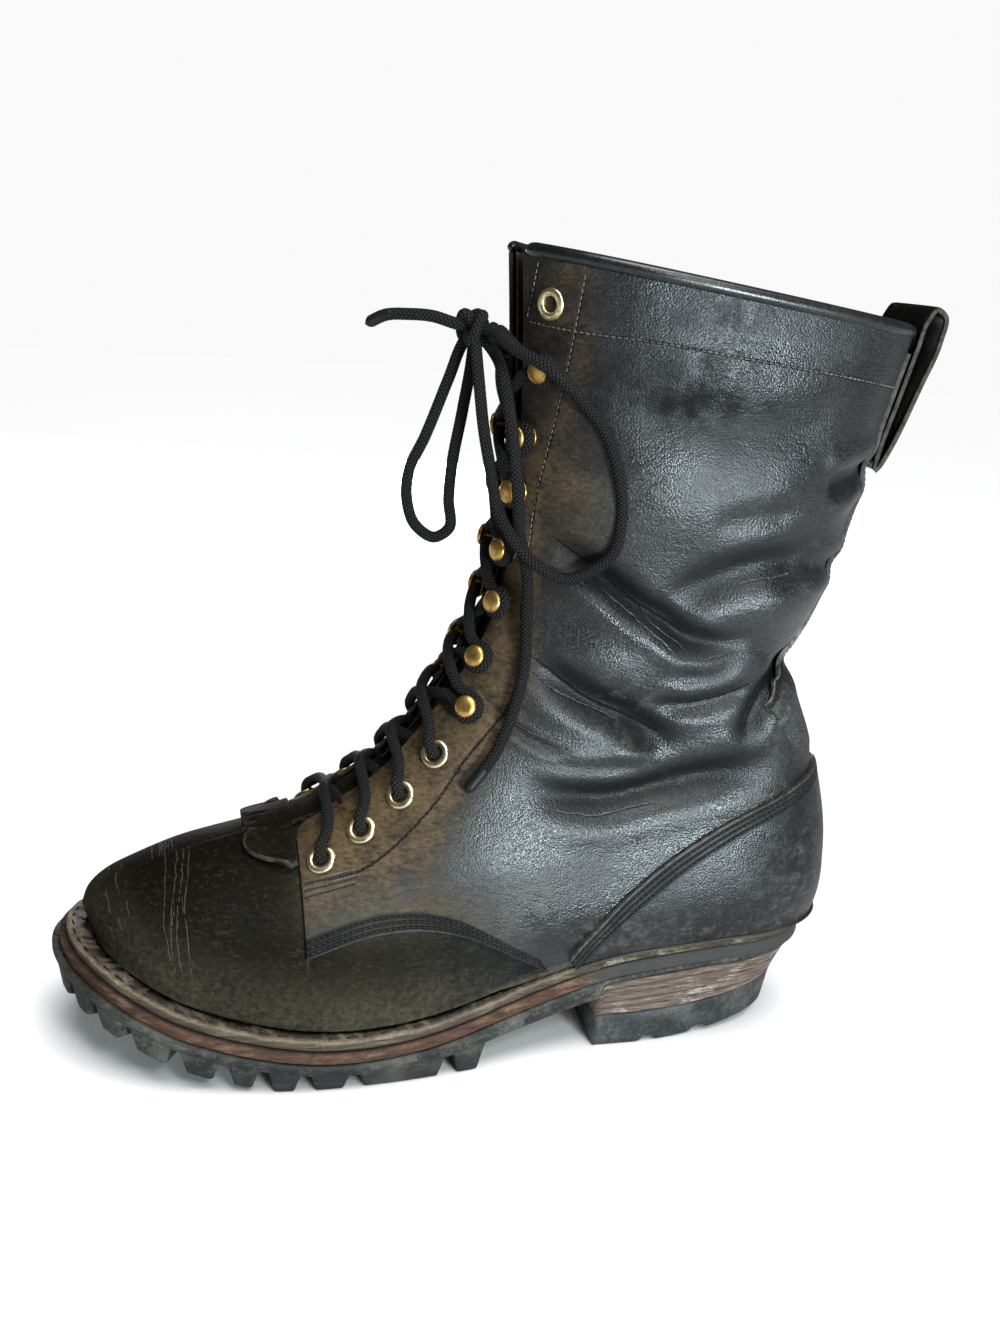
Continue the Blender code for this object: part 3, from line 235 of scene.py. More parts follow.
class Graph:
    """The nodes of one material."""

    def __init__(self, name: str) -> None:
        """Start a material with its Principled shader.

        Args:
            name: the material's name.
        """
        self.material = bpy.data.materials.new(name)
        self.material.use_nodes = True
        self.tree = self.material.node_tree
        self.shader = self.tree.nodes["Principled BSDF"]

    def node(
        self, kind: str, settings: dict | None = None, sockets: dict | None = None, out: int = 0
    ) -> Shade:
        """Add any node.

        Args:
            kind: the node's type.
            settings: its own settings, set first.
            sockets: values or links of its inputs, by name or number.
            out: the number of the output to go on from.

        Returns:
            The output's value.
        """
        node = self.tree.nodes.new(kind)
        for name, value in (settings or {}).items():
            setattr(node, name, value)
        for name, value in (sockets or {}).items():
            self.feed(node.inputs[name], value)
        return Shade(self, node.outputs[out])

    def feed(self, socket: bpy.types.NodeSocket, value: "Shade | float | Sequence[float]") -> None:
        """Link a value to a socket, or set it there.

        Args:
            socket: the socket.
            value: the value.
        """
        if isinstance(value, Shade):
            self.tree.links.new(value.socket, socket)
        else:
            socket.default_value = value

    def mask(self, name: str) -> Shade:
        """A mask that the mesh carries at its points."""
        return self.node("ShaderNodeAttribute", {"attribute_name": name}, out=2)

    def place(self, stretch: Point = (1.0, 1.0, 1.0), turn: Point = (0.0, 0.0, 0.0)) -> Shade:
        """Object coordinates, turned and stretched."""
        spot = self.node("ShaderNodeTexCoord", out=3)
        return self.node("ShaderNodeMapping", None, {"Vector": spot, "Rotation": turn, "Scale": stretch})

    def noise(
        self, scale: float, detail: float = 3.0, rough: float = 0.55, spot: Shade | None = None
    ) -> Shade:
        """Noise from 0 to 1."""
        sockets = {"Vector": spot or self.place(), "Scale": scale, "Detail": detail, "Roughness": rough}
        return self.node("ShaderNodeTexNoise", None, sockets)

    def cells(self, scale: float) -> Shade:
        """Distance from the middle of the nearest cell of a Voronoi pattern."""
        return self.node("ShaderNodeTexVoronoi", {"feature": "F1"}, {"Vector": self.place(), "Scale": scale})

    def ramp(self, value: Shade, start: float, end: float, low: float = 0.0, high: float = 1.0) -> Shade:
        """A smooth step of a value."""
        sockets = {"Value": value, "From Min": start, "From Max": end, "To Min": low, "To Max": high}
        return self.node("ShaderNodeMapRange", {"interpolation_type": "SMOOTHSTEP"}, sockets)

    def blend(self, share: Number, first: "Shade | Colour", second: "Shade | Colour") -> Shade:
        """A mix of two colours.

        Args:
            share: the second colour's share.
            first: the first colour.
            second: the second colour.

        Returns:
            The mix.
        """
        colours = [value if isinstance(value, Shade) else (*value, 1.0) for value in (first, second)]
        sockets = {0: share, 6: colours[0], 7: colours[1]}
        return self.node("ShaderNodeMix", {"data_type": "RGBA"}, sockets, out=2)

    def bump(self, height: Shade, depth: float, strength: float = 1.0, over: Shade | None = None) -> Shade:
        """A Bump node.

        Args:
            height: the height, in shares of the depth.
            depth: the depth in millimetres.
            strength: how much of it shows.
            over: the normal that it is laid on.

        Returns:
            The new normal.
        """
        sockets = {"Height": height, "Distance": depth * MM, "Strength": strength}
        if over:
            sockets["Normal"] = over
        return self.node("ShaderNodeBump", None, sockets)

    def cover(self, share: Shade, **sockets: "Shade | float | Sequence[float]") -> None:
        """Lay a second Principled shader over the first.

        Args:
            share: how much of it shows, from 0 to 1.
            sockets: its values or links, named with _ for a space.
        """
        named = {name.replace("_", " "): value for name, value in sockets.items()}
        second = self.node("ShaderNodeBsdfPrincipled", None, named)
        first = Shade(self, self.shader.outputs[0])
        mixed = self.node("ShaderNodeMixShader", None, {0: share, 1: first, 2: second})
        self.feed(self.tree.nodes["Material Output"].inputs["Surface"], mixed)

    def finish(self, **sockets: "Shade | float | Sequence[float]") -> Finish:
        """Feed the shader's sockets, named with _ for a space.

        Args:
            sockets: values or links for the Principled shader.

        Returns:
            The finished material.
        """
        for name, value in sockets.items():
            self.feed(self.shader.inputs[name.replace("_", " ")], value)
        return self.material


@dataclass(frozen=True)
class OiledLeather:
    """Black oiled leather, rubbed brown, worn grey on its creases and cut edges and dusty at its foot."""

    # Shade is painted in the folds, shade places, crease lines and grain hollows; sheen on the fold tops.
    name: str = "oiled_leather"
    blue_black: Colour = (0.0072, 0.0088, 0.0100)
    dull_black: Colour = (0.0150, 0.0168, 0.0175)
    # Light grey for the fold tops: partly worn leather, partly painted sheen.
    polished: Colour = (0.0400, 0.0430, 0.0440)
    olive: Colour = (0.0085, 0.0070, 0.0038)
    rubbed: Colour = (0.1060, 0.0660, 0.0280)
    worn: Colour = (0.105, 0.096, 0.080)
    dust: Colour = (0.130, 0.118, 0.092)
    scuffed: Colour = (0.100, 0.100, 0.086)
    raw: Colour = (0.070, 0.064, 0.053)
    # black: the lap strip's own colour, and the colour of the shade painted on the leather.
    black: Colour = (0.0032, 0.0032, 0.0034)
    gloss: float = 0.32
    shine: float = 0.5
    matt: float = 0.9
    strip: float = 0.6
    grain: float = 1.0
    rows: tuple[float, ...] = (1.8, 4.1, 6.5)

    @staticmethod
    def line(g: Graph, name: str, thin: float, thick: float, drift: float = 0.0) -> Shade:
        """A thin line where a signed distance that the mesh carries is nought, with a wandering edge.

        Args:
            g: the material's graph.
            name: the distance's name.
            thin: the distance up to which the line is whole.
            thick: the distance at which it ends.
            drift: how far it wanders, in millimetres.

        Returns:
            The line's share from 0 to 1.
        """
        wander = (g.noise(420.0, 2.0) - 0.5) * 0.8
        if drift:
            wander = wander + (g.noise(75.0, 2.0) - 0.5) * drift
        return (1.0 - g.ramp((g.mask(name) + wander).size(), thin, thick)) * g.mask(f"{name}_on")

    def material(self) -> Finish:
        """Build the material: the masks are the panels' own, and the grain is in Object coordinates.

        Returns:
            The material.
        """
        g = Graph(self.name)
        broad, patch = g.noise(26.0, 4.0), g.noise(85.0, 5.0, 0.62)
        fine, speck = g.noise(430.0, 3.0, 0.6), g.noise(1700.0, 2.0, 0.6)
        pebble = g.cells(1350.0)
        rub, olive, trough, dust, ridge, scuff = (
            g.mask(name) for name in ("rub", "olive", "trough", "dust", "ridge", "scuff")
        )
        streaked = g.noise(1.0, 4.0, 0.62, g.place((330.0, 330.0, 760.0), (0.0, 0.3, 0.0)))
        lap, lap_on = g.mask("lap"), g.mask("lap_on")
        groove = self.line(g, "seam", 0.15, 0.55)
        for row in self.rows:
            groove = groove.most((1.0 - g.ramp((lap - row).size(), 0.2, 0.75)) * lap_on)
        crease = self.line(g, "crease_1", 0.05, 0.4, 3.5)
        for name in ("crease_2", "crease_3"):
            crease = crease.most(self.line(g, name, 0.05, 0.4, 3.5))
        colour = g.blend(g.ramp(broad, 0.35, 0.7), self.blue_black, self.dull_black)
        # Painted sheen, partly wear: the fold tops, by the ridge mask, lighten towards a grey.
        colour = g.blend(ridge * g.ramp(patch, 0.2, 0.7, 0.25, 1.0) * 0.75, colour, self.polished)
        colour = g.blend(olive * g.ramp(broad, 0.15, 0.6, 0.65, 1.0), colour, self.olive)
        worn_through = patch * 0.6 + broad * 0.5 + (streaked - 0.5) * 0.5
        colour = g.blend(rub * g.ramp(worn_through, 0.36, 0.72, 0.12, 1.0), colour, self.rubbed)
        colour = g.blend(g.ramp(streaked, 0.5, 0.72) * g.ramp(patch, 0.3, 0.65) * 0.32, colour, self.worn)
        # Painted shade: the hollows between the grain's pebbles and of the streaked wrinkles darken towards
        # black.
        colour = g.blend(g.ramp(pebble, 0.2, 0.6) * (0.75 - rub * 0.55), colour, self.black)
        colour = g.blend(g.ramp(streaked, 0.5, 0.3) * (0.6 - rub * 0.2), colour, self.black)
        # Painted shade: the fold troughs darken towards black.
        colour = g.blend(trough * 0.85, colour, self.black)
        sewn = (1.0 - g.ramp(lap, self.rows[-1] + 0.9, self.rows[-1] + 2.3)) * lap_on
        colour = g.blend(sewn * 0.85, colour, self.black)
        upright = g.noise(1.0, 2.0, 0.5, g.place((520.0, 520.0, 22.0)))
        slanted = g.noise(1.0, 2.0, 0.5, g.place((260.0, 260.0, 18.0), (0.0, 0.9, 0.0)))
        scratch = g.ramp(upright, 0.67, 0.74).most(g.ramp(slanted, 0.69, 0.75)) * g.ramp(patch, 0.45, 0.7)
        colour = g.blend(scratch * g.ramp(speck, 0.35, 0.6) * 0.3, colour, self.worn)
        dusty = g.ramp(g.noise(420.0, 7.0, 0.75) + (broad - 0.5) * 0.5, 0.15, 0.95)
        colour = g.blend(dust * dusty, colour, self.dust)
        scuff = scuff * g.ramp(g.noise(170.0, 7.0, 0.72) + (streaked - 0.5) * 0.35, 0.46, 0.68)
        colour = g.blend(scuff * 0.75, colour, self.scuffed)
        # Dark stitch grooves, and painted shade along the fold lines that the seam field also holds.
        colour = g.blend(groove * 0.92, colour, self.black)
        colour = g.blend(crease * g.ramp(fine, 0.34, 0.56) * 0.55, colour, self.worn)
        raw = ((1.0 - g.ramp(lap, 0.3, 1.0)) * lap_on).most(g.mask("raw"))
        colour = g.blend(raw * g.ramp(fine, 0.3, 0.65, 0.25, 0.95), colour, self.raw)
        wrinkle = g.noise(130.0, 4.0, 0.6, g.place((1.0, 1.0, 2.6), (0.0, 0.35, 0.0)))
        normal = g.bump(wrinkle, 0.55 * self.grain, 0.5)
        normal = g.bump(streaked, 0.17 * self.grain, 0.7, normal)
        normal = g.bump((1.0 - pebble) * (1.0 - olive * 0.6) + fine * 0.6, 0.17 * self.grain, 0.85, normal)
        normal = g.bump(speck, 0.06 * self.grain, 0.6, normal)
        normal = g.bump(1.0 - groove - crease * 0.6, 0.55, 1.0, normal)
        dull = rub * 0.28 + dust * 0.3 + raw * 0.3 + trough * 0.1
        dull = dull + olive * 0.22 + scuff * 0.25 + sewn * 0.2 + groove * 0.3
        rough = g.ramp(broad, 0.3, 0.72, self.gloss - 0.06, self.gloss + 0.16) + dull + (patch - 0.5) * 0.25
        rough = (rough + (fine - 0.5) * 0.24).most(0.27)
        # Dark matt cover: painted shade in troughs, shade places, stitch grooves and crease lines; black lap
        # strip; duller rub.
        mottle = g.ramp(g.noise(115.0, 5.0, 0.66), 0.3, 0.72, 0.5, 1.1)
        matt = trough * 0.8 + g.mask("shade") * mottle + sewn * self.strip + groove * 0.4 + rub * 0.75
        dark = g.blend(rub, self.black, colour)
        g.cover(matt * self.matt, Base_Color=dark, Roughness=0.7, Specular_IOR_Level=0.14, Normal=normal)
        return g.finish(Base_Color=colour, Roughness=rough, Normal=normal, Specular_IOR_Level=self.shine)


@dataclass(frozen=True)
class EdgeLeather:
    """Leather seen on its cut edge, or split by weather, in streaks along the sole."""

    name: str
    deep: Colour
    middle: Colour
    pale: Colour
    streak: float = 900.0
    grey: Colour = (0.030, 0.0325, 0.0305)
    black: Colour = (0.005, 0.004, 0.003)

    def material(self) -> Finish:
        """Build the material, with streaks along the layer and pale flakes.

        Returns:
            The material.
        """
        g = Graph(self.name)
        streak = g.noise(1.0, 5.0, 0.65, g.place((90.0, 90.0, self.streak)))
        patch, fine = g.noise(70.0, 4.0, 0.6), g.noise(900.0, 4.0, 0.7)
        chip = g.noise(330.0, 4.0, 0.65)
        dust, trough, grey = g.mask("dust"), g.mask("trough"), g.mask("grey")
        colour = g.blend(g.ramp(streak, 0.32, 0.68), self.deep, self.middle)
        flake = g.ramp(patch + (streak - 0.5) * 0.9 + (fine - 0.5) * 0.6, 0.52, 0.82)
        colour = g.blend(flake * 0.8, colour, self.pale)
        # The dust mask: dust at the midsole's foot, and a painted highlight along the welt's and rand's
        # rounded edge.
        colour = g.blend(dust * g.ramp(fine, 0.3, 0.7, 0.2, 1.0), colour, self.pale)
        colour = g.blend(g.ramp(chip, 0.55, 0.68) * 0.5, colour, self.deep)
        colour = g.blend(grey * g.ramp(streak, 0.3, 0.7, 1.0, 0.85), colour, self.grey)
        # Painted shade where the trough mask lies: under the upper, under the welt and in the heel's joints.
        colour = g.blend(trough, colour, self.black)
        normal = g.bump(streak, 0.6, 0.7)
        normal = g.bump(chip, 0.5, 0.6, normal)
        normal = g.bump(fine, 0.35, 0.7, normal)
        rough = g.ramp(fine, 0.2, 0.8, 0.6, 0.9)
        return g.finish(Base_Color=colour, Roughness=rough, Normal=normal, Specular_IOR_Level=0.25)


@dataclass(frozen=True)
class WornRubber:
    """Black rubber gone grey with dust and scuffs."""

    name: str = "worn_rubber"
    deep: Colour = (0.0105, 0.0108, 0.0100)
    grey: Colour = (0.040, 0.039, 0.034)
    dust: Colour = (0.125, 0.117, 0.096)
    dullness: float = 0.62

    def material(self) -> Finish:
        """Build the material, with dust where the mask lies and a chalky bloom.

        Returns:
            The material.
        """
        g = Graph(self.name)
        patch, fine = g.noise(60.0, 5.0, 0.65), g.noise(700.0, 5.0, 0.7)
        streak = g.noise(1.0, 4.0, 0.6, g.place((60.0, 60.0, 420.0)))
        dust = g.mask("dust")
        colour = g.blend(g.ramp(patch + (streak - 0.5) * 0.5, 0.4, 0.75), self.deep, self.grey)
        colour = g.blend(dust * g.ramp(fine + (patch - 0.5), 0.35, 0.8), colour, self.dust)
        normal = g.bump(fine + streak * 0.6, 0.35, 0.6)
        rough = g.ramp(fine, 0.2, 0.8, self.dullness - 0.12, self.dullness + 0.2)
        return g.finish(Base_Color=colour, Roughness=rough, Normal=normal, Specular_IOR_Level=0.25)


@dataclass(frozen=True)
class Brass:
    """Lacquered brass, worn bright in some patches and tarnished dull in others."""

    name: str = "brass"
    bright: Colour = (0.90, 0.80, 0.50)
    dull: Colour = (0.50, 0.37, 0.16)
    polish: float = 0.2

    def material(self) -> Finish:
        """Build the material with tarnish and fine scratches.

        Returns:
            The material.
        """
        g = Graph(self.name)
        patch, fine = g.noise(380.0, 4.0, 0.6), g.noise(2600.0, 3.0)
        colour = g.blend(g.ramp(patch, 0.42, 0.7), self.bright, self.dull)
        rough = g.ramp(patch, 0.3, 0.75, self.polish, self.polish + 0.26) + (fine - 0.5) * 0.12
        return g.finish(Base_Color=colour, Metallic=1.0, Roughness=rough, Normal=g.bump(fine, 0.06, 0.3))


@dataclass(frozen=True)
class Braid:
    """Round braided lace: strands that cross in both directions round the cord."""

    name: str = "lace_braid"
    deep: Colour = (0.0018, 0.0018, 0.002)
    top: Colour = (0.0150, 0.0135, 0.0130)
    pitch: float = 3.1
    strands: int = 6

    def material(self) -> Finish:
        """Build the material on the cord's UV: u goes once round it and v is its length in millimetres.

        Returns:
            The material.
        """
        g = Graph(self.name)
        spot = g.node("ShaderNodeTexCoord", out=2)
        parts = [g.node("ShaderNodeSeparateXYZ", None, {0: spot}, out=number) for number in (0, 1)]
        round_turn = parts[0] * (self.strands * math.pi)
        down = parts[1] * (2.0 * math.pi / self.pitch)
        left, right = (round_turn + down).sine().size(), (down - round_turn).sine().size()
        strand = left * right
        fuzz = g.noise(2400.0, 3.0, 0.7)
        # Painted shade: the gaps between the strands are darker than their crowns.
        colour = g.blend(g.ramp(strand + (fuzz - 0.5) * 0.5, 0.1, 0.8), self.deep, self.top)
        normal = g.bump(strand, 0.7, 1.0)
        normal = g.bump(fuzz, 0.15, 0.5, normal)
        return g.finish(Base_Color=colour, Roughness=0.7, Normal=normal, Specular_IOR_Level=0.2)


@dataclass(frozen=True)
class PlainFinish:
    """Thread, lining and other small things: one colour that varies a little."""

    name: str
    deep: Colour
    pale: Colour
    grain: float = 900.0
    dullness: float = 0.7

    def material(self) -> Finish:
        """Build the material with a soft mottle and a fine grain.

        Returns:
            The material.
        """
        g = Graph(self.name)
        patch, fine = g.noise(120.0, 4.0, 0.6), g.noise(self.grain, 4.0, 0.65)
        colour = g.blend(g.ramp(patch + (fine - 0.5) * 0.6, 0.3, 0.75), self.deep, self.pale)
        normal = g.bump(fine, 0.25, 0.5)
        return g.finish(Base_Color=colour, Roughness=self.dullness, Normal=normal, Specular_IOR_Level=0.25)


@dataclass(frozen=True)
class FloorFinish:
    """A matt white floor that throws little light back on the boot."""

    name: str = "pale_floor"
    pale: Colour = (0.97, 0.97, 0.97)
    thrown: Colour = (0.6, 0.6, 0.6)

    def material(self) -> Finish:
        """Build the material: light that has met the boot finds the floor darker.

        Returns:
            The material.
        """
        g = Graph(self.name)
        seen = g.node("ShaderNodeLightPath")
        colour = g.blend(seen, self.thrown, self.pale)
        return g.finish(Base_Color=colour, Roughness=0.9, Specular_IOR_Level=0.1)


class Finishes:
    """The boot's materials, each made once."""

    def __init__(self) -> None:
        """Build every finish."""
        self.leather = OiledLeather().material()
        self.vamp = OiledLeather(
            name="vamp_leather", olive=(0.0110, 0.0085, 0.0030), dust=(0.140, 0.120, 0.082),
            rubbed=(0.022, 0.017, 0.008), gloss=0.42, shine=0.03,
        ).material()
        self.rolled = OiledLeather(name="rolled_leather", gloss=0.24, grain=0.25).material()
        self.counter = OiledLeather(
            name="counter_leather", gloss=0.36, strip=0.2, raw=(0.125, 0.117, 0.100)
        ).material()
        self.stay = OiledLeather(
            name="stay_leather", blue_black=(0.022, 0.024, 0.024), dull_black=(0.070, 0.072, 0.068),
            gloss=0.6, matt=0.4, shine=0.3, raw=(0.24, 0.23, 0.20), rows=(2.2,),
        ).material()
        self.welt = EdgeLeather(
            "welt_leather", (0.046, 0.034, 0.023), (0.120, 0.088, 0.055), (0.21, 0.172, 0.12)
        ).material()
        self.rand = EdgeLeather(
            "rand_leather", (0.028, 0.022, 0.013), (0.085, 0.062, 0.034), (0.42, 0.36, 0.25)
        ).material()
        self.midsole = EdgeLeather(
            "midsole_leather", (0.030, 0.0135, 0.0078), (0.082, 0.036, 0.0195), (0.15, 0.094, 0.060), 500.0
        ).material()
        self.stack = EdgeLeather(
            "stacked_leather", (0.062, 0.042, 0.032), (0.155, 0.112, 0.088), (0.40, 0.35, 0.305), 1100.0
        ).material()
        self.rubber = WornRubber().material()
        self.lift_rubber = WornRubber(
            "top_lift_rubber", (0.011, 0.0125, 0.0135), (0.034, 0.037, 0.039), dullness=0.5
        ).material()
        self.brass = Brass().material()
        self.hook_brass = Brass("hook_brass", (0.66, 0.42, 0.13), (0.33, 0.18, 0.05), 0.3).material()
        self.braid = Braid().material()
        self.thread = PlainFinish(
            "waxed_thread", (0.004, 0.004, 0.004), (0.020, 0.019, 0.017), 2500.0, 0.5
        ).material()
        self.grey_thread = PlainFinish(
            "grey_thread", (0.045, 0.042, 0.037), (0.150, 0.140, 0.120), 2500.0
        ).material()
        self.lining = PlainFinish("lining", (0.035, 0.024, 0.014), (0.085, 0.058, 0.034)).material()
        self.insole = PlainFinish("insole_leather", (0.06, 0.037, 0.02), (0.14, 0.095, 0.055)).material()
        self.tip = PlainFinish(
            "lace_tip", (0.0025, 0.0025, 0.003), (0.009, 0.009, 0.0095), 900.0, 0.5
        ).material()
        self.floor = FloorFinish().material()


@dataclass
class Section:
    """The sizes of half sections of the upper, as arrays."""

    seat_x: Array
    seat_z: Array
    crest_x: Array
    crest_z: Array
    widest: Array
    low_full: Array
    top_full: Array
    axis: Array
    half: dict[Side, Array]
    seat_half: dict[Side, Array]


@dataclass
class Last:
    """The form that the boot is made on: half sections from the toe to the collar, over a feather line."""

    toe_x: float = -153.0
    heel_x: float = 145.5
    toe_round_from: float = -112.0
    heel_round_from: float = 105.0
    toe_roundness: float = 2.2
    heel_roundness: float = 2.1
    swell: float = 1.012
    heel_row: int = 13
    collar_row: int = 22
    middle: Point = (60.0, 0.0, 120.0)
    outline_rows: tuple = (
        (-153, 33.0, 33.0, 4.0), (-125, 40.5, 39.0, 3.5), (-95, 46.0, 44.5, 2.5), (-66, 48.0, 46.0, 1.5),
        (-40, 46.0, 42.5, 0.5), (-10, 42.0, 34.5, 0.0), (20, 37.0, 28.0, 0.0), (50, 35.0, 28.5, 0.0),
        (80, 34.8, 31.5, 0.0), (110, 34.0, 33.0, 0.0), (145.5, 33.0, 33.0, 0.0),
    )
    feather_rows: tuple = (
        (-153, 46.0, 5.0, 5.2), (-138, 40.0, 5.0, 5.2), (-119, 32.6, 5.0, 5.2), (-93, 25.6, 5.0, 5.2),
        (-68, 22.0, 5.0, 5.2), (-45, 21.8, 5.0, 5.8), (-24, 24.4, 5.2, 6.8), (5, 31.8, 5.6, 7.8),
        (20, 36.0, 6.0, 8.2), (46, 43.0, 6.4, 8.8), (80, 48.0, 6.6, 9.0), (110, 50.4, 6.6, 9.0),
        (145.5, 50.6, 6.6, 9.0),
    )
    section_rows: tuple = (
        (-153.0, 0, -156.5, 56.0, 0, 0, 0.25, 0.00, 0.30),
        (-151.2, 0, -154.0, 62.0, 0, 0, 0.25, 0.00, 0.30),
        (-145.5, 0, -147.5, 66.5, 0, 0, 0.25, 0.00, 0.30),
        (-135.0, 0, -136.5, 70.5, 0, 0, 0.25, 0.00, 0.28),
        (-119.0, 0, -120.0, 76.5, 30.0, 28.0, 0.25, 0.00, 0.26),
        (-97.0, 0, -99.0, 83.5, 43.5, 41.5, 0.26, 0.00, 0.22),
        (-70.0, 0, -74.0, 92.0, 47.0, 44.8, 0.27, 0.00, 0.18),
        (-45.0, 0, -57.0, 104.0, 46.2, 42.4, 0.28, 0.00, 0.14),
        (-12.0, 0, -42.0, 117.0, 43.5, 38.5, 0.32, 0.05, 0.10),
        (26.0, 0, -30.0, 132.0, 41.5, 38.0, 0.38, 0.10, 0.10),
        (66.0, 0, -20.0, 147.5, 40.5, 38.5, 0.42, 0.20, 0.10),
        (104.0, 0, -11.5, 161.5, 40.5, 39.5, 0.46, 0.30, 0.10),
        (130.0, 0, -6.0, 173.0, 40.5, 40.0, 0.48, 0.35, 0.12),
        (145.5, 0, -1.5, 186.0, 40.0, 40.0, 0.50, 0.35, 0.12),
        (147.0, 76, 1.0, 200.0, 39.5, 39.5, 0.50, 0.35, 0.14),
        (143.8, 98, 2.6, 213.0, 39.0, 39.0, 0.50, 0.33, 0.14),
        (135.8, 125, 3.4, 226.0, 38.5, 38.5, 0.50, 0.30, 0.15),
        (126.4, 146, 3.6, 235.5, 38.5, 38.5, 0.50, 0.28, 0.15),
        (119.5, 161, 3.6, 243.0, 39.0, 39.0, 0.50, 0.26, 0.16),
        (126.0, 179, 3.4, 252.0, 40.5, 40.5, 0.50, 0.25, 0.16),
        (134.2, 208, 2.8, 267.0, 43.0, 43.0, 0.50, 0.24, 0.18),
        (143.5, 246, 1.6, 286.5, 45.5, 45.5, 0.50, 0.22, 0.20),
        (154.5, 290, -0.5, 311.0, 47.0, 47.0, 0.50, 0.20, 0.20),
    )

    def outline(self, x: Array) -> tuple[Array, Array, Array]:
        """The feather line from above.

        Args:
            x: places along the boot.

        Returns:
            Its lateral and medial half widths and its axis there.
        """
        toe = np.clip((self.toe_round_from - x) / (self.toe_round_from - self.toe_x), 0.0, 1.0)
        heel = np.clip((x - self.heel_round_from) / (self.heel_x - self.heel_round_from), 0.0, 1.0)
        ends = (1.0 - toe**self.toe_roundness) ** (1.0 / self.toe_roundness)
        ends = ends * (1.0 - heel**self.heel_roundness) ** (1.0 / self.heel_roundness)
        lateral, medial, axis = (from_table(self.outline_rows, column, x) for column in (1, 2, 3))
        return lateral * ends, medial * ends, axis

    def feather(self, x: Array) -> Array:
        """Height of the feather line."""
        return from_table(self.feather_rows, 1, x)

    def over_feather(self, points: Array) -> Array:
        """Height of points over the feather line."""
        return points[..., 2] - self.feather(np.clip(points[..., 0], self.toe_x, self.heel_x))

    def section(self, row: Array) -> Section:
        """The sizes at places between the rows of the table of half sections.

        Args:
            row: the places.

        Returns:
            The sizes there.
        """
        row = np.asarray(row, float)
        rows = np.arange(len(self.section_rows))
        table = np.array(self.section_rows, float)
        seat_x, _, crest_x, crest_z, lateral, medial, widest, low_full, top_full = (
            smooth(rows, column, row) for column in table.T
        )
        on_sole = row <= self.heel_row
        seat_x = np.clip(seat_x, self.toe_x, np.where(on_sole, self.heel_x, np.inf))
        seat_lateral, seat_medial, axis = self.outline(np.clip(seat_x, self.toe_x, self.heel_x))
        heights = np.where(rows <= self.heel_row, self.feather(self.heel_x), table[:, 1])[self.heel_row :]
        above = smooth(rows[self.heel_row :], heights, np.maximum(row, self.heel_row))
        seats = {
            Side.LATERAL: np.where(on_sole, seat_lateral, 0.0),
            Side.MEDIAL: np.where(on_sole, seat_medial, 0.0),
        }
        halves = {}
        for side, width in ((Side.LATERAL, lateral), (Side.MEDIAL, medial)):
            seat = self.swell * seats[side]
            halves[side] = np.where(seat > 0.0, 0.5 * (width + seat + np.hypot(width - seat, 0.6)), width)
        seat_z = np.where(on_sole, self.feather(seat_x), above)
        axis = np.where(on_sole, axis, 0.0)
        return Section(seat_x, seat_z, crest_x, crest_z, widest, low_full, top_full, axis, halves, seats)

    @staticmethod
    def cosine_at(share: Array, full: Array) -> Array:
        """Cosine of the angle at which a half section is down to a share of its half width.

        Args:
            share: the share.
            full: how full the section is.

        Returns:
            The cosine.
        """
        cosine = np.asarray(share, float)
        for _ in range(24):
            cosine = share / (1.0 + full * (1.0 - cosine * cosine))
        return np.clip(cosine, 0.0, 1.0)

    def seat_angle(self, row: Array, side: Side) -> Array:
        """Angle, under the widest place, at which the half section reaches its seat.

        Args:
            row: places of the sections.
            side: the half of the boot.

        Returns:
            The angles.
        """
        sizes = self.section(row)
        share = sizes.seat_half[side] / np.maximum(sizes.half[side], 1e-6)
        return np.arccos(self.cosine_at(share, sizes.low_full))

    def surface(self, row: Array, angle: Array, side: Side) -> Array:
        """Points of the upper's outer surface.

        Args:
            row: place between the rows of the table of half sections.
            angle: minus the seat angle is the seat, 0 the widest place and a quarter turn the crest.
            side: the half of the boot.

        Returns:
            The points in millimetres.
        """
        row, angle = np.broadcast_arrays(np.asarray(row, float), np.asarray(angle, float))
        sizes = self.section(row)
        half = sizes.half[side]
        lowest = np.arccos(self.cosine_at(sizes.seat_half[side] / np.maximum(half, 1e-6), sizes.low_full))
        under = angle < 0.0
        sine = np.sin(angle)
        widest = sizes.widest
        lowest = np.maximum(np.sin(lowest), 1e-6)
        share = np.where(under, widest * (1.0 + sine / lowest), widest + (1.0 - widest) * sine)
        full = np.where(under, sizes.low_full, sizes.top_full)
        y = sizes.axis + side * half * np.cos(angle) * (1.0 + full * sine * sine)
        x = sizes.seat_x + share * (sizes.crest_x - sizes.seat_x)
        z = sizes.seat_z + share * (sizes.crest_z - sizes.seat_z)
        return np.stack([x, y, z], axis=-1)

    def normal(self, row: Array, angle: Array, side: Side) -> Array:
        """Outward normals of the surface.

        Args:
            row: places of the sections.
            angle: places round them.
            side: the half of the boot.

        Returns:
            The normals.
        """
        row, angle = np.broadcast_arrays(np.asarray(row, float), np.asarray(angle, float))
        small = 2e-3
        ahead, behind = row + small, np.maximum(row - small, 0.0)
        low = np.maximum(angle - small, -self.seat_angle(row, side))
        high = np.minimum(angle + small, QUARTER_TURN)
        along = self.surface(ahead, np.maximum(angle, -self.seat_angle(ahead, side)), side)
        along = along - self.surface(behind, np.maximum(angle, -self.seat_angle(behind, side)), side)
        around = self.surface(row, high, side) - self.surface(row, low, side)
        across = -side * np.cross(along, around)
        return across / np.maximum(np.linalg.norm(across, axis=-1, keepdims=True), 1e-9)

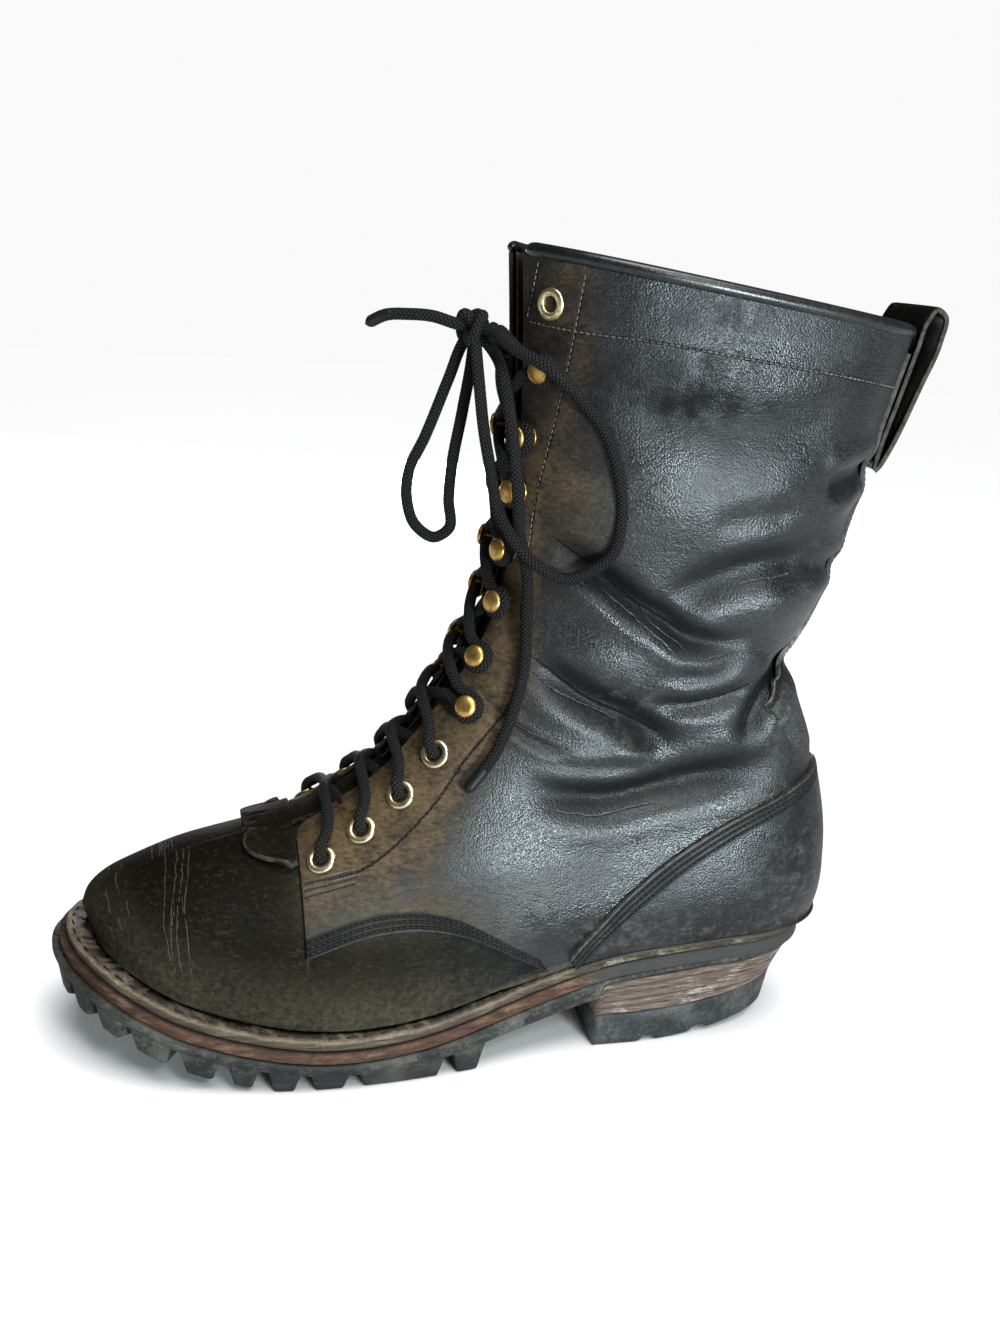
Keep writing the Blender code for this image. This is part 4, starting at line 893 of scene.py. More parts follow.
    def lifted(self, row: Array, angle: Array, side: Side, lift: Array) -> Array:
        """Points over the surface by a lift along its normals."""
        height = np.asarray(lift, float)[..., None]
        return self.surface(row, angle, side) + self.normal(row, angle, side) * height

    def angle_at_half(self, row: Array, half: Array, side: Side, most: float = 0.25) -> Array:
        """The angle, over the widest place, at which a section is down to a half width.

        Args:
            row: places of the sections.
            half: the half width.
            side: the half of the boot.
            most: the largest share of the section's own half width.

        Returns:
            The angles.
        """
        sizes = self.section(row)
        share = np.minimum(half / np.maximum(sizes.half[side], 1e-6), most)
        return np.arccos(self.cosine_at(share, sizes.top_full))

    def angle_at_share(self, row: Array, share: Array, side: Side) -> Array:
        """The angle at a share of the way from a section's seat to its crest.

        Args:
            row: places of the sections.
            share: the share.
            side: the half of the boot.

        Returns:
            The angles.
        """
        widest = self.section(row).widest
        sine = np.clip(1.0 - share / widest, -1.0, 1.0) * np.sin(self.seat_angle(row, side))
        over = np.clip((share - widest) / (1.0 - widest), -1.0, 1.0)
        return np.where(share < widest, -np.arcsin(np.clip(sine, -1.0, 1.0)), np.arcsin(over))

    def angle_at_edge(self, row: Array, edge: Line, side: Side) -> Array:
        """The angle at which sections meet an edge drawn from the side.

        Args:
            row: places of the sections.
            edge: the edge as x and z.
            side: the half of the boot.

        Returns:
            The angles.
        """
        sizes = self.section(row)
        knots, heights = np.array(edge, float).T
        low, high = np.zeros(np.shape(row)), np.full(np.shape(row), 0.9)
        for _ in range(30):
            share = 0.5 * (low + high)
            x = sizes.seat_x + share * (sizes.crest_x - sizes.seat_x)
            z = sizes.seat_z + share * (sizes.crest_z - sizes.seat_z)
            under = z < smooth(knots, heights, np.clip(x, knots[0], knots[-1]))
            low, high = np.where(under, share, low), np.where(under, high, share)
        return self.angle_at_share(row, low, side)

    def locate(self, x: Array, z: Array, side: Side) -> tuple[Array, Array]:
        """Rows and angles of the upper's points that are seen from the side at x, z.

        Args:
            x: places along the boot.
            z: heights.
            side: the half of the boot.

        Returns:
            The rows and the angles.
        """
        x, z = np.broadcast_arrays(np.asarray(x, float), np.asarray(z, float))
        low, high = np.zeros(x.shape), np.full(x.shape, self.collar_row + 0.3)
        for _ in range(40):
            row = 0.5 * (low + high)
            sizes = self.section(row)
            run_x, run_z = sizes.crest_x - sizes.seat_x, sizes.crest_z - sizes.seat_z
            over = run_x * (z - sizes.seat_z) - run_z * (x - sizes.seat_x) < 0.0
            low, high = np.where(over, row, low), np.where(over, high, row)
        share = ((x - sizes.seat_x) * run_x + (z - sizes.seat_z) * run_z) / (run_x**2 + run_z**2)
        return row, self.angle_at_share(row, share, side)

    def even_rows(self, start: float, stop: float, spacing: float, angle: float = 0.0) -> Array:
        """Rows at an even step along the surface.

        Args:
            start: the first row.
            stop: the last row.
            spacing: the step in millimetres.
            angle: where round the section the step is measured.

        Returns:
            The rows.
        """
        rows = np.linspace(start, stop, 600)
        run = lengths_along(self.surface(rows, np.full(600, angle), Side.LATERAL))
        return np.interp(np.linspace(0.0, run[-1], max(2, int(run[-1] / spacing) + 1)), run, rows)


LAST = Last()


@dataclass(frozen=True)
class Fold:
    """A crease of the worn leather, drawn from the side: a soft trough with a bulge beside it."""

    line: Line
    width: float
    depth: float
    bulge: float = 0.0
    hand: int = 0
    shift: float = 1.9
    taper: float = 0.3

    def relief(self, x: Array, z: Array) -> tuple[Array, Array]:
        """The crease's height and how much a point lies in it.

        Args:
            x: places along the boot.
            z: heights.

        Returns:
            The height in millimetres, and the trough's share from 0 to 1.
        """
        off, along = near_line(self.line, x, z)
        ends = fade(along, 0.0, self.taper) * fade(1.0 - along, 0.0, self.taper)
        trough = np.exp(-((off / self.width) ** 2)) * ends
        beside = off * self.hand if self.hand else np.abs(off)
        bulge = np.exp(-(((beside - self.shift * self.width) / self.width) ** 2)) * ends
        return self.bulge * bulge - self.depth * trough, trough


@dataclass(frozen=True)
class Swell:
    """A broad bulge of the leather between creases."""

    x: float
    z: float
    reach_x: float
    reach_z: float
    height: float

    def relief(self, x: Array, z: Array) -> Array:
        """The bulge's height."""
        off_x, off_z = (x - self.x) / self.reach_x, (z - self.z) / self.reach_z
        return self.height * np.exp(-(off_x**2) - off_z**2)


@dataclass
class Wear:
    """How the leather is worn: its folds, its thin creases, its rubbed and dusty places, and where shade is
    painted on it.
    """

    folds: tuple[Fold, ...] = (
        Fold(
            ((10, 219), (22, 207), (34, 199), (47, 190), (57, 185), (67, 178), (78, 176), (98, 177)),
            5.0, 3.8, 1.6, -1,
        ),
        Fold(((7, 171), (18, 161), (31, 153), (47, 146), (60, 139), (72, 131)), 6.0, 3.8, 1.5, -1),
        Fold(((-11, 155), (-2, 145), (7, 138), (18, 133), (28, 132)), 2.0, 1.2, 0.6, -1),
        Fold(
            ((4, 121), (16, 116), (30, 113), (44, 112), (64, 116), (82, 120), (98, 123), (114, 126)),
            6.5, 3.8, 0.9,
        ),
        Fold(((121, 170), (113, 163), (106, 157), (100, 149), (96, 140), (93, 132)), 5.5, 3.4, 0.9, 1),
        Fold(((102, 161), (86, 155), (67, 150.5), (50, 152)), 3.6, 2.0, 0.8),
        Fold(((55, 184), (62, 194), (74, 201), (87, 206), (105, 210), (124, 217)), 7.5, 3.0, 0.8, -1),
        Fold(((22, 266), (50, 261), (89, 259), (124, 263)), 9.0, 1.5, 0.4),
        Fold(((10, 130), (28, 126), (48, 126), (66, 129)), 3.0, 0.9, 0.5),
        Fold(((60, 165), (76, 163), (92, 168)), 3.4, 1.1, 0.5),
        Fold(((66, 222), (84, 226), (106, 228)), 5.0, 0.9, 0.4),
        Fold(((112, 236), (126, 240), (146, 244)), 4.5, 2.0, 1.0, taper=0.2),
        Fold(((108, 207), (122, 205), (142, 202)), 4.0, 1.5, 0.9, taper=0.2),
    )
    swells: tuple[Swell, ...] = (
        Swell(100, 192, 26, 13, 2.6), Swell(42, 168, 24, 12, 2.0), Swell(88, 140, 20, 10, 1.8),
        Swell(60, 228, 34, 14, 1.6), Swell(30, 128, 24, 9, 1.4), Swell(-110, 70, 16, 30, 0.5),
        Swell(0, 88, 24, 14, 1.2),
    )
    forms: tuple[Swell, ...] = (
        Swell(66, 120, 46, 33, -6.5), Swell(95, 215, 50, 30, 1.5), Swell(60, 62, 70, 17, 1.6),
        Swell(60, 240, 56, 30, 1.4), Swell(4, 68, 30, 18, 1.4),
    )
    # Broad places where shade is painted, in a mottle, by the dark matt cover.
    shades: tuple[Swell, ...] = (
        Swell(52, 273, 54, 23, 1.0), Swell(58, 298, 56, 13, 0.85), Swell(98, 262, 30, 9, 0.5),
        Swell(92, 67, 42, 14, 0.7), Swell(121, 92, 22, 32, 0.95), Swell(67, 64, 4, 3.5, 0.6),
        Swell(102, 131, 10, 8, 0.7), Swell(30, 196, 24, 8, 0.5), Swell(52, 140, 22, 7, 0.4),
    )
    scuffs: tuple[Swell, ...] = (
        Swell(50, 58, 18, 9, 0.9), Swell(128, 78, 22, 34, 0.85), Swell(95, 58, 30, 7, 0.7),
        Swell(74, 66, 12, 8, 0.5), Swell(46, 148, 12, 13, 0.8), Swell(58, 232, 20, 9, 0.5),
        Swell(8, 74, 22, 18, 0.5), Swell(108, 146, 8, 12, 0.9),
    )
    eyestay: Line = (
        (-71, 79), (-52, 85), (-27, 106), (-13, 126), (5, 152), (8, 191), (10, 221), (17, 261), (18, 312),
    )
    sewn_lines: tuple[Line, ...] = (
        ((-71, 79), (-52, 85), (-27, 106), (-13, 126), (5, 152), (8, 191), (9, 204)),
        ((9, 205), (10, 221), (14, 262), (17.5, 308)),
        ((4, 289), (11, 288), (42, 286), (78, 282), (112, 278), (146, 273)), ((4.5, 310), (3.5, 290)),
    )
    # Lines along the folds where shade is painted into the leather.
    dark_lines: tuple[Line, ...] = (
        ((14, 214), (34, 199), (47, 190), (57, 185), (68, 178)),
        ((9, 168), (31, 152.5), (47, 145.5), (63, 138)),
        ((115, 164), (106, 157), (100, 149), (96, 140)), ((98, 160), (86, 155), (68, 151)),
    )
    light_lines: tuple[tuple[Line, ...], ...] = (
        (
            ((-112, 92), (-117, 84), (-121, 72), (-122, 61)), ((30, 203), (41, 193), (52, 184), (67, 173)),
            ((-11, 155), (-2, 145), (7, 138), (18, 133), (28, 132)),
            ((-49, 78), (-40, 82.6), (-26, 84.7), (-18, 83)), ((-147, 66), (-144.5, 61)),
            ((-142, 61), (-139.5, 55)), ((-139, 66), (-136.5, 62)), ((84, 200), (104, 204)),
        ),
        (
            ((-114, 88), (-118, 76), (-119.5, 63), (-119, 52), (-117, 44)),
            ((27, 201), (39, 190), (51, 181), (62, 172)), ((-123, 80), (-124.5, 70), (-124, 58), (-121, 48)),
            ((6, 164), (16, 157), (30, 150), (45, 143)), ((-146, 57), (-143, 52)),
            ((4, 142), (16, 136.5), (30, 135)),
            ((-40, 76), (-30, 80), (-20, 79)), ((20, 108), (44, 106), (66, 110)),
        ),
        (
            ((-115, 82), (-116.5, 71), (-116, 60), (-113.5, 43)), ((-120, 70), (-122, 58), (-120, 45)),
            ((24, 199), (36, 188), (48, 178)), ((-144, 69), (-141, 66)),
            ((-60, 72), (-50, 76), (-42, 75)), ((72, 170), (88, 172), (100, 172)),
        ),
    )
    rubs: tuple[Swell, ...] = (Swell(20, 232, 13, 30, 0.8), Swell(-36, 64, 33, 17, 0.85))
    front_dust: Swell = Swell(-52, 71, 20, 9, 0.5)
    medial_shift: tuple[float, float] = (5.0, -6.0)
    medial_share: float = 0.8
    gain: float = 1.45
    fold_foot: tuple[float, float] = (2.0, 16.0)
    form_foot: tuple[float, float] = (2.0, 24.0)

    def from_side(self, points: Array, side: Side) -> tuple[Array, Array]:
        """The places, drawn from the side, at which a half of the boot takes its folds."""
        shift = self.medial_shift if side == Side.MEDIAL else (0.0, 0.0)
        return points[..., 0] + shift[0], points[..., 2] + shift[1]

    def relief(self, points: Array, side: Side) -> tuple[Array, Array]:
        """The folds' relief at points of the upper.

        Args:
            points: the points in millimetres.
            side: the half of the boot they lie on.

        Returns:
            The height along the normal, and the troughs' share.
        """
        x, z = self.from_side(points, side)
        share = self.gain * (self.medial_share if side == Side.MEDIAL else 1.0)
        height, trough = np.zeros(x.shape), np.zeros(x.shape)
        for fold in self.folds:
            rise, inside = fold.relief(x, z)
            height += rise * share
            trough = np.maximum(trough, inside * fold.depth / 3.8)
        for swell in self.swells:
            height += swell.relief(x, z) * share
        return height, trough

    def form(self, points: Array) -> Array:
        """The narrow ankle under a full shaft, the same in every layer."""
        return sum(swell.relief(points[..., 0], points[..., 2]) for swell in self.forms)

    def worn(self, points: Array, side: Side, folded: float = 1.0) -> tuple[Array, Array, Array]:
        """How far a layer lies off the last, settling towards the feather line.

        Args:
            points: points of the last in millimetres.
            side: the half of the boot they lie on.
            folded: how much of the folds the layer takes.

        Returns:
            The whole lift along the normal, the folds' part of it, and the troughs' share.
        """
        height, trough = self.relief(points, side)
        foot = LAST.over_feather(points)
        folds = height * (fade(foot, *self.fold_foot) * folded)
        return folds + self.form(points) * fade(foot, *self.form_foot), folds, trough

    @staticmethod
    def field(name: str, lines: Iterable[Line], x: Array, z: Array) -> dict[str, Array]:
        """Signed distance to the nearest of some thin lines, and a weight that ends with the line.

        Args:
            name: the field's name.
            lines: the lines, drawn from the side.
            x: places along the boot.
            z: heights.

        Returns:
            The distance and the weight, by name.
        """
        best, weight = np.full(x.shape, 9.0), np.zeros(x.shape)
        for line in lines:
            off, along = near_line(line, x, z)
            nearer = np.abs(off) < np.abs(best)
            ends = fade(along, 0.0, 0.1) * fade(1.0 - along, 0.0, 0.1) * (1.0 - fade(np.abs(off), 1.8, 2.8))
            best, weight = np.where(nearer, off, best), np.where(nearer, ends, weight)
        return {name: best, f"{name}_on": weight}

    def masks(self, points: Array, side: Side) -> dict[str, Array]:
        """The masks of the upper's leather, apart from those of its folds.

        Args:
            points: the points in millimetres.
            side: the half of the boot they lie on.

        Returns:
            Masks by name.
        """
        x, z = points[..., 0], points[..., 2]
        knots = np.array(self.eyestay)
        inside = (x < np.interp(z, knots[:, 1], knots[:, 0])) & (z > knots[0, 1])
        off = np.abs(near_line(self.eyestay, x, z)[0])
        front = fade(-x, -20.0, 45.0)
        rub = np.where(inside, 1.0, 1.0 - fade(off, 0.0, 9.0 + 22.0 * front))
        rub = rub * fade(x, -92.0, -66.0)
        rub = np.clip(np.max([rub, *(place.relief(x, z) for place in self.rubs)], axis=0), 0.0, 1.0)
        rub = rub * (1.0 - 0.4 * fade(z, 226.0, 262.0))
        foot = LAST.over_feather(points)
        low = 0.42 * fade(-x, -20.0, 20.0) * (1.0 - fade(foot, 4.0, 34.0))
        dust = np.max([0.6 * fade(-foot, -5.0, -0.5), self.front_dust.relief(x, z), low], axis=0)
        masks = {"rub": rub, "olive": fade(-x, -12.0, 55.0), "dust": dust}
        # scuff marks worn leather; shade marks where shade is painted.
        for name, places in (("scuff", self.scuffs), ("shade", self.shades)):
            masks[name] = np.max([place.relief(x, z) for place in places], axis=0)
        fold_x, fold_z = self.from_side(points, side)
        # The seam field: the stitched lines, and the fold lines where shade is painted.
        masks |= self.field("seam", (*self.sewn_lines, *self.dark_lines), x, z)
        for number, lines in enumerate(self.light_lines, 1):
            masks |= self.field(f"crease_{number}", lines, fold_x, fold_z)
        return masks


WEAR = Wear()


class Bench:
    """Hand tools that leave a finished mesh at the origin."""

    @staticmethod
    def pick(thing: Thing) -> None:
        """Select one object alone and make it active.

        Args:
            thing: the object.
        """
        bpy.ops.object.select_all(action="DESELECT")
        thing.select_set(True)
        bpy.context.view_layer.objects.active = thing

    @staticmethod
    def start(name: str, primitive: Callable, **sizes: float) -> Thing:
        """A primitive, selected alone, as the start of a piece.

        Args:
            name: the piece's name.
            primitive: the operator that adds it.
            sizes: the operator's settings.

        Returns:
            The primitive.
        """
        bpy.ops.object.select_all(action="DESELECT")
        primitive(**sizes)
        thing = bpy.context.object
        thing.name = thing.data.name = name
        return thing

    @staticmethod
    def edit(*steps: Callable) -> None:
        """Take steps in edit mode on every part of the active object.

        Args:
            steps: the steps, each called without a value.
        """
        bpy.ops.object.mode_set(mode="EDIT")
        for step in steps:
            bpy.ops.mesh.select_all(action="SELECT")
            step()
        bpy.ops.object.mode_set(mode="OBJECT")

    @staticmethod
    def grid(
        name: str, points: Array, masks: dict[str, Array] | None = None, uv: Array | None = None,
        closed: bool = False,
    ) -> Thing:
        """A grid primitive whose points are laid on the last.

        Args:
            name: the piece's name.
            points: rows and columns of points in millimetres.
            masks: values at the points, by name.
            uv: two coordinates at each point.
            closed: whether the grid closes on itself into a solid.

        Returns:
            The sheet, or the closed solid.
        """
        rows, columns = points.shape[:2]
        cuts = {"x_subdivisions": columns - 1, "y_subdivisions": rows - 1}
        thing = Bench.start(name, bpy.ops.mesh.primitive_grid_add, size=2.0, **cuts)
        mesh = thing.data
        places = np.empty(len(mesh.vertices) * 3)
        mesh.vertices.foreach_get("co", places)
        places = places.reshape(-1, 3)
        order = np.lexsort((np.round(places[:, 0], 5), np.round(places[:, 1], 5)))
        places[order] = to_frame(points).reshape(-1, 3)
        mesh.vertices.foreach_set("co", places.ravel())
        for mask, values in (masks or {}).items():
            spread = np.empty(len(places))
            spread[order] = np.broadcast_to(values, (rows, columns)).ravel()
            mesh.attributes.new(mask, "FLOAT", "POINT").data.foreach_set("value", spread)
        if uv is not None:
            spread = np.empty((len(places), 2))
            spread[order] = uv.reshape(-1, 2)
            corners = np.empty(len(mesh.loops), int)
            mesh.loops.foreach_get("vertex_index", corners)
            mesh.uv_layers[0].data.foreach_set("uv", spread[corners].ravel())
        mesh.update()
        Bench.clean(thing, closed)
        return thing

    @staticmethod
    def clean(thing: Thing, closed: bool) -> None:
        """Merge doubles, and turn a closed solid's faces outwards or a sheet's away from the foot.

        Args:
            thing: the piece.
            closed: whether it is a closed solid.
        """
        Bench.pick(thing)
        Bench.edit(
            lambda: bpy.ops.mesh.remove_doubles(threshold=4e-6),
            lambda: bpy.ops.mesh.dissolve_degenerate(threshold=1e-7),
        )
        if closed:
            Bench.edit(lambda: bpy.ops.mesh.normals_make_consistent(inside=False))
        else:
            middle = Vector(to_frame(LAST.middle))
            votes = sum(math.copysign(1, f.normal.dot(f.center - middle)) for f in thing.data.polygons)
            if votes < 0:
                thing.data.flip_normals()
        bpy.ops.object.shade_smooth()

    @staticmethod
    def modify(thing: Thing, kind: str, **settings: object) -> None:
        """Add a modifier and apply it.

        Args:
            thing: the piece.
            kind: the modifier's type.
            settings: its settings.
        """
        Bench.pick(thing)
        bpy.ops.object.modifier_add(type=kind)
        modifier = thing.modifiers[-1]
        for name, value in settings.items():
            setattr(modifier, name, value)
        bpy.ops.object.modifier_apply(modifier=modifier.name)

    @staticmethod
    def thicken(thing: Thing, thickness: float, round_edge: float = 0.0) -> None:
        """Give a sheet its thickness inwards, with a rounded cut edge.

        Args:
            thing: the sheet.
            thickness: millimetres.
            round_edge: the rounding of the edge in millimetres.
        """
        Bench.modify(thing, "SOLIDIFY", thickness=thickness * MM, offset=-1.0, use_quality_normals=True)
        if round_edge:
            Bench.modify(
                thing, "BEVEL", width=round_edge * MM, segments=2, limit_method="ANGLE",
                angle_limit=math.radians(55), use_clamp_overlap=True, harden_normals=False,
            )

    @staticmethod
    def join(name: str, things: Sequence[Thing], closed: bool = False) -> Thing:
        """Join pieces into one and merge where they meet.

        Args:
            name: the name of the whole.
            things: the pieces.
            closed: whether it is a closed solid.

        Returns:
            The whole.
        """
        bpy.ops.object.select_all(action="DESELECT")
        for thing in things:
            thing.select_set(True)
        bpy.context.view_layer.objects.active = things[0]
        bpy.ops.object.join()
        whole = bpy.context.object
        whole.name = whole.data.name = name
        Bench.clean(whole, closed)
        return whole

    @staticmethod
    def copies(name: str, pattern: Thing, frames: Sequence[Matrix]) -> Thing:
        """One mesh of a small pattern repeated at many places; the pattern is used up.

        Args:
            name: the whole's name.
            pattern: the object modelled once, about its own origin, in metres.
            frames: the place and turn of each copy.

        Returns:
            The joined copies.
        """
        mesh = pattern.data
        corners = np.array([tuple(v.co) for v in mesh.vertices])
        faces = [tuple(face.vertices) for face in mesh.polygons]
        places = []
        for place in frames:
            matrix = np.array(place)
            places.append(corners @ matrix[:3, :3].T + matrix[:3, 3])
        count = len(corners)
        every = [tuple(i + n * count for i in face) for n in range(len(frames)) for face in faces]
        whole = bpy.data.meshes.new(name)
        whole.from_pydata(np.concatenate(places).tolist(), [], every)
        whole.update()
        bpy.data.objects.remove(pattern, do_unlink=True)
        thing = bpy.data.objects.new(name, whole)
        bpy.context.scene.collection.objects.link(thing)
        Bench.pick(thing)
        bpy.ops.object.shade_smooth()
        return thing

    @staticmethod
    def dress(thing: Thing, finish: Finish, slot: Slot, *nodes: str) -> Thing:
        """Give a piece its finish and its body, and hide the solids that it stands for.

        Args:
            thing: the piece.
            finish: its material.
            slot: the record's slot; not used.
            nodes: the solids.

        Returns:
            The piece.
        """
        thing.data.materials.clear()
        thing.data.materials.append(finish)
        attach(thing, "root")
        if nodes:
            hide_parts(*nodes)
        LOG.info("%s: %d faces", thing.name, len(getattr(thing.data, "polygons", ())))
        return thing

    @staticmethod
    def tube(name: str, path: Array, radius: float, sides: int = 12) -> Thing:
        """A round cord with domed ends along a path.

        Args:
            name: the piece's name.
            path: points in millimetres, close together.
            radius: half its thickness in millimetres.
            sides: its sides.

        Returns:
            The cord, with a UV of turns round it and millimetres along it.
        """
        along = np.gradient(path, axis=0)
        along /= np.linalg.norm(along, axis=1, keepdims=True)
        run = lengths_along(path)
        out = np.cross(along[0], (0.3, 0.5, 0.8))
        rings, coords = [], []
        turn = np.linspace(0.0, 2.0 * math.pi, sides + 1)
        ends = (0.05, 0.6, 0.9)
        shares = np.ones(len(path))
        shares[:3], shares[-3:] = ends, ends[::-1]
        for point, way, share, length in zip(path, along, shares, run):
            out = out - way * np.dot(out, way)
            out /= np.linalg.norm(out)
            up = np.cross(way, out)
            circle = np.cos(turn)[:, None] * out + np.sin(turn)[:, None] * up
            rings.append(point + circle * radius * share)
            coords.append(np.stack([turn / (2.0 * math.pi), np.full(sides + 1, length)], axis=1))
        rings = [np.repeat(path[:1], sides + 1, axis=0), *rings, np.repeat(path[-1:], sides + 1, axis=0)]
        coords = [coords[0], *coords, coords[-1]]
        return Bench.grid(name, np.array(rings), None, np.array(coords), closed=True)


@dataclass
class Sole:
    """Welt, rand, midsole, lugged outsole, heel stack and top lift, and the insole."""

    finishes: Finishes
    gap: float = 0.3
    welt_thick: float = 4.0
    strip_inset: float = 8.2
    join_x: float = 46.0
    insole_inset: float = 3.4
    insole_rise: float = 3.0
    side_step: float = 1.2
    ball_x: float = -66.0
    lug_depth: float = 8.6
    lug_reach: float = 16.0
    lug_slot: float = 5.0
    lug_draft: float = 1.6
    lug_root: float = 1.2
    lug_slots: tuple[float, ...] = (9.0, 24.0, 38.0, 54.0, 74.0, 92.0, 107.0, 123.0, 142.0, 180.0, 197.0)
    cleat_x: tuple[float, ...] = (-136.0, -114.0, -92.0, -70.0, -48.0, -26.0)
    cleat_length: float = 11.0
    cleat_sweep: float = 7.0
    breast_x: float = 47.5
    heel_taper: tuple = ((0.0, 133.5, 0.94), (0.5, 136.0, 0.95), (1.0, 141.5, 0.985))
    heel_pinch: tuple[float, float] = (0.24, 0.06)
    pinch_span: tuple[float, float] = (58.0, 124.0)
    heel_wear: float = 4.5
    wear_span: tuple[float, float] = (80.0, 136.0)
    heel_thinning: float = 5.8
    lifts: int = 5
    # Levels of one lift: share of its height, inset, and painted shade, darkest in the groove at each joint.
    lift_profile: tuple[Point, ...] = (
        (0.0, 0.45, 1.0), (0.12, 0.06, 0.1), (0.5, 0.0, 0.0), (0.88, 0.06, 0.1), (1.0, 0.45, 1.0),
    )
    top_lift_profile: Line = (
        (0.0, 4.0), (0.0, 1.6), (0.03, 0.7), (0.09, 0.15), (0.2, 0.0), (0.6, 0.0), (0.93, 0.1), (1.0, 0.5),
    )
    top_lift: tuple[float, float] = (14.0, 17.5)
    grooves: tuple[float, float] = (72.0, 96.0)
    groove_width: float = 6.0
    groove_depth: float = 2.2
    torn: Point = (32.0, 1.9, 1.0)
    edges: tuple = (
        (-153, 9.5, 12.0, 15.0), (-120, 8.0, 9.6, 11.0), (-70, 6.5, 7.6, 8.4), (-20, 5.5, 6.2, 6.8),
        (20, 4.0, 4.3, 4.6), (50, 2.6, 2.4, 1.8), (100, 1.8, 1.0, -0.5), (145.5, 1.0, -0.6, -2.4),
    )
    stations: int = 150

    def welt_bottom(self, x: Array) -> Array:
        """Height of the welt's underside."""
        return LAST.feather(x) - self.gap - self.welt_thick

    def midsole_bottom(self, x: Array) -> Array:
        """Height of the midsole's underside."""
        return self.welt_bottom(x) - self.gap - from_table(LAST.feather_rows, 2, x)

    def outsole_bottom(self, x: Array) -> Array:
        """Height of the outsole's underside between its lugs, where it thins over the heel stack.

        Args:
            x: places along the boot.

        Returns:
            The heights.
        """
        thinned = self.heel_thinning * fade(x, self.breast_x, self.breast_x + 2.0)
        thick = from_table(LAST.feather_rows, 3, x) - thinned
        return self.midsole_bottom(x) - self.gap - thick

    def lug_bottom(self, x: Array) -> Array:
        """Height of the tread: on the floor under the ball, and rising with the toe spring."""
        return np.where(x < self.ball_x, np.maximum(self.outsole_bottom(x) - self.lug_depth, 0.0), 0.0)

    def edge(self, x: Array, side: Side, layer: int, inset: Array = 0.0) -> Array:
        """A layer's edge from above.

        Args:
            x: stations along the feather line.
            side: the half of the boot.
            layer: 0 the feather line, 1 the welt, 2 the midsole, 3 the outsole.
            inset: how far inside that edge.

        Returns:
            Points as x and y.
        """
        ahead, behind = np.minimum(x + 0.05, LAST.heel_x), np.maximum(x - 0.05, LAST.toe_x)
        lines = []
        for place in (x, ahead, behind):
            lateral, medial, axis = LAST.outline(place)
            lines.append(axis - lateral if side == Side.LATERAL else axis + medial)
        slope = (lines[1] - lines[2]) / (ahead - behind)
        outward = side * np.stack([-slope, np.ones_like(slope)], axis=-1)
        outward /= np.linalg.norm(outward, axis=-1, keepdims=True)
        reach = from_table(self.edges, layer, x) if layer else np.zeros_like(x)
        return np.stack([x, lines[0]], axis=-1) + outward * (reach - inset)[..., None]

    def layer(
        self, name: str, number: int, side_line: Sequence[tuple[float, float]], low: Callable,
        high: Callable, masks: Callable | None = None,
    ) -> Thing:
        """A whole layer of the sole: sections across the boot from the toe's tip to the heel.

        Args:
            name: the piece's name.
            number: the layer's number in edge().
            side_line: the side's profile as inset and share of the height, from the bottom up.
            low: height of the underside at x.
            high: height of the top at x.
            masks: masks from the stations and the shares of the height.

        Returns:
            The closed layer.
        """
        turn = np.linspace(0.0, math.pi, self.stations)
        x = 0.5 * (LAST.toe_x + LAST.heel_x) - 0.5 * (LAST.heel_x - LAST.toe_x) * np.cos(turn)
        columns, shares = [], []
        for side, profile in ((Side.LATERAL, side_line), (Side.MEDIAL, side_line[::-1])):
            for inset, share in profile:
                points = self.edge(x, side, number, np.full_like(x, inset))
                under, over = low(points[:, 0]), high(points[:, 0])
                columns.append(np.column_stack([points, under + share * (over - under)]))
                shares.append(share)
        columns.append(columns[0])
        shares.append(shares[0])
        points = np.stack(columns, axis=1)
        marks = masks(x[:, None], np.array(shares)[None, :]) if masks else {}
        return Bench.grid(name, points, marks, closed=True)

    def strip(self, name: str, x: Array, finish: Finish, wave: float) -> Thing:
        """The welt round the forefoot, or the rand round the heel, with a softly rounded edge.

        Args:
            name: the piece's name, which is also its node's.
            x: stations from the tip to the strip's end.
            finish: its leather.
            wave: how far its worn edge wanders, in millimetres.

        Returns:
            The strip.
        """
        rim = (
            (0, self.strip_inset, 0.0), (1, 0.5, 0.0), (1, 0.1, 0.12), (1, 0.0, 0.35), (1, 0.05, 0.65),
            (1, 0.35, 0.88), (1, 1.0, 0.97), (1, 2.2, 1.0), (0, 0.6, 1.0), (0, -0.4, 1.0),
            (0, self.strip_inset, 1.0),
        )
        columns = []
        for layer, inset, share in (*rim, rim[0]):
            lines = []
            for side in (Side.MEDIAL, Side.LATERAL):
                points = self.edge(x, side, layer, np.full_like(x, inset))
                under = self.welt_bottom(points[:, 0])
                over = LAST.feather(points[:, 0]) - self.gap
                lines.append(np.column_stack([points, under + share * (over - under)]))
            columns.append(np.concatenate([lines[0][::-1], lines[1][1:]]))
        points = np.stack(columns, axis=1)
        run = lengths_along(points[:, 3])
        worn = wave * (np.sin(run * 0.21) * 0.5 + np.sin(run * 0.53 + 1.0) * 0.3 + np.sin(run * 1.31) * 0.2)
        points[:, 2:8, 2] += worn[:, None] * np.array((0.2, 0.4, 0.7, 0.9, 1.0, 0.8))
        if name == "welt":
            loose = fade(points[:, :, 0], self.torn[0], self.join_x) * (points[:, :, 1] < 0.0)
            points[:, 2:9, 2] += self.torn[1] * loose[:, 2:9]
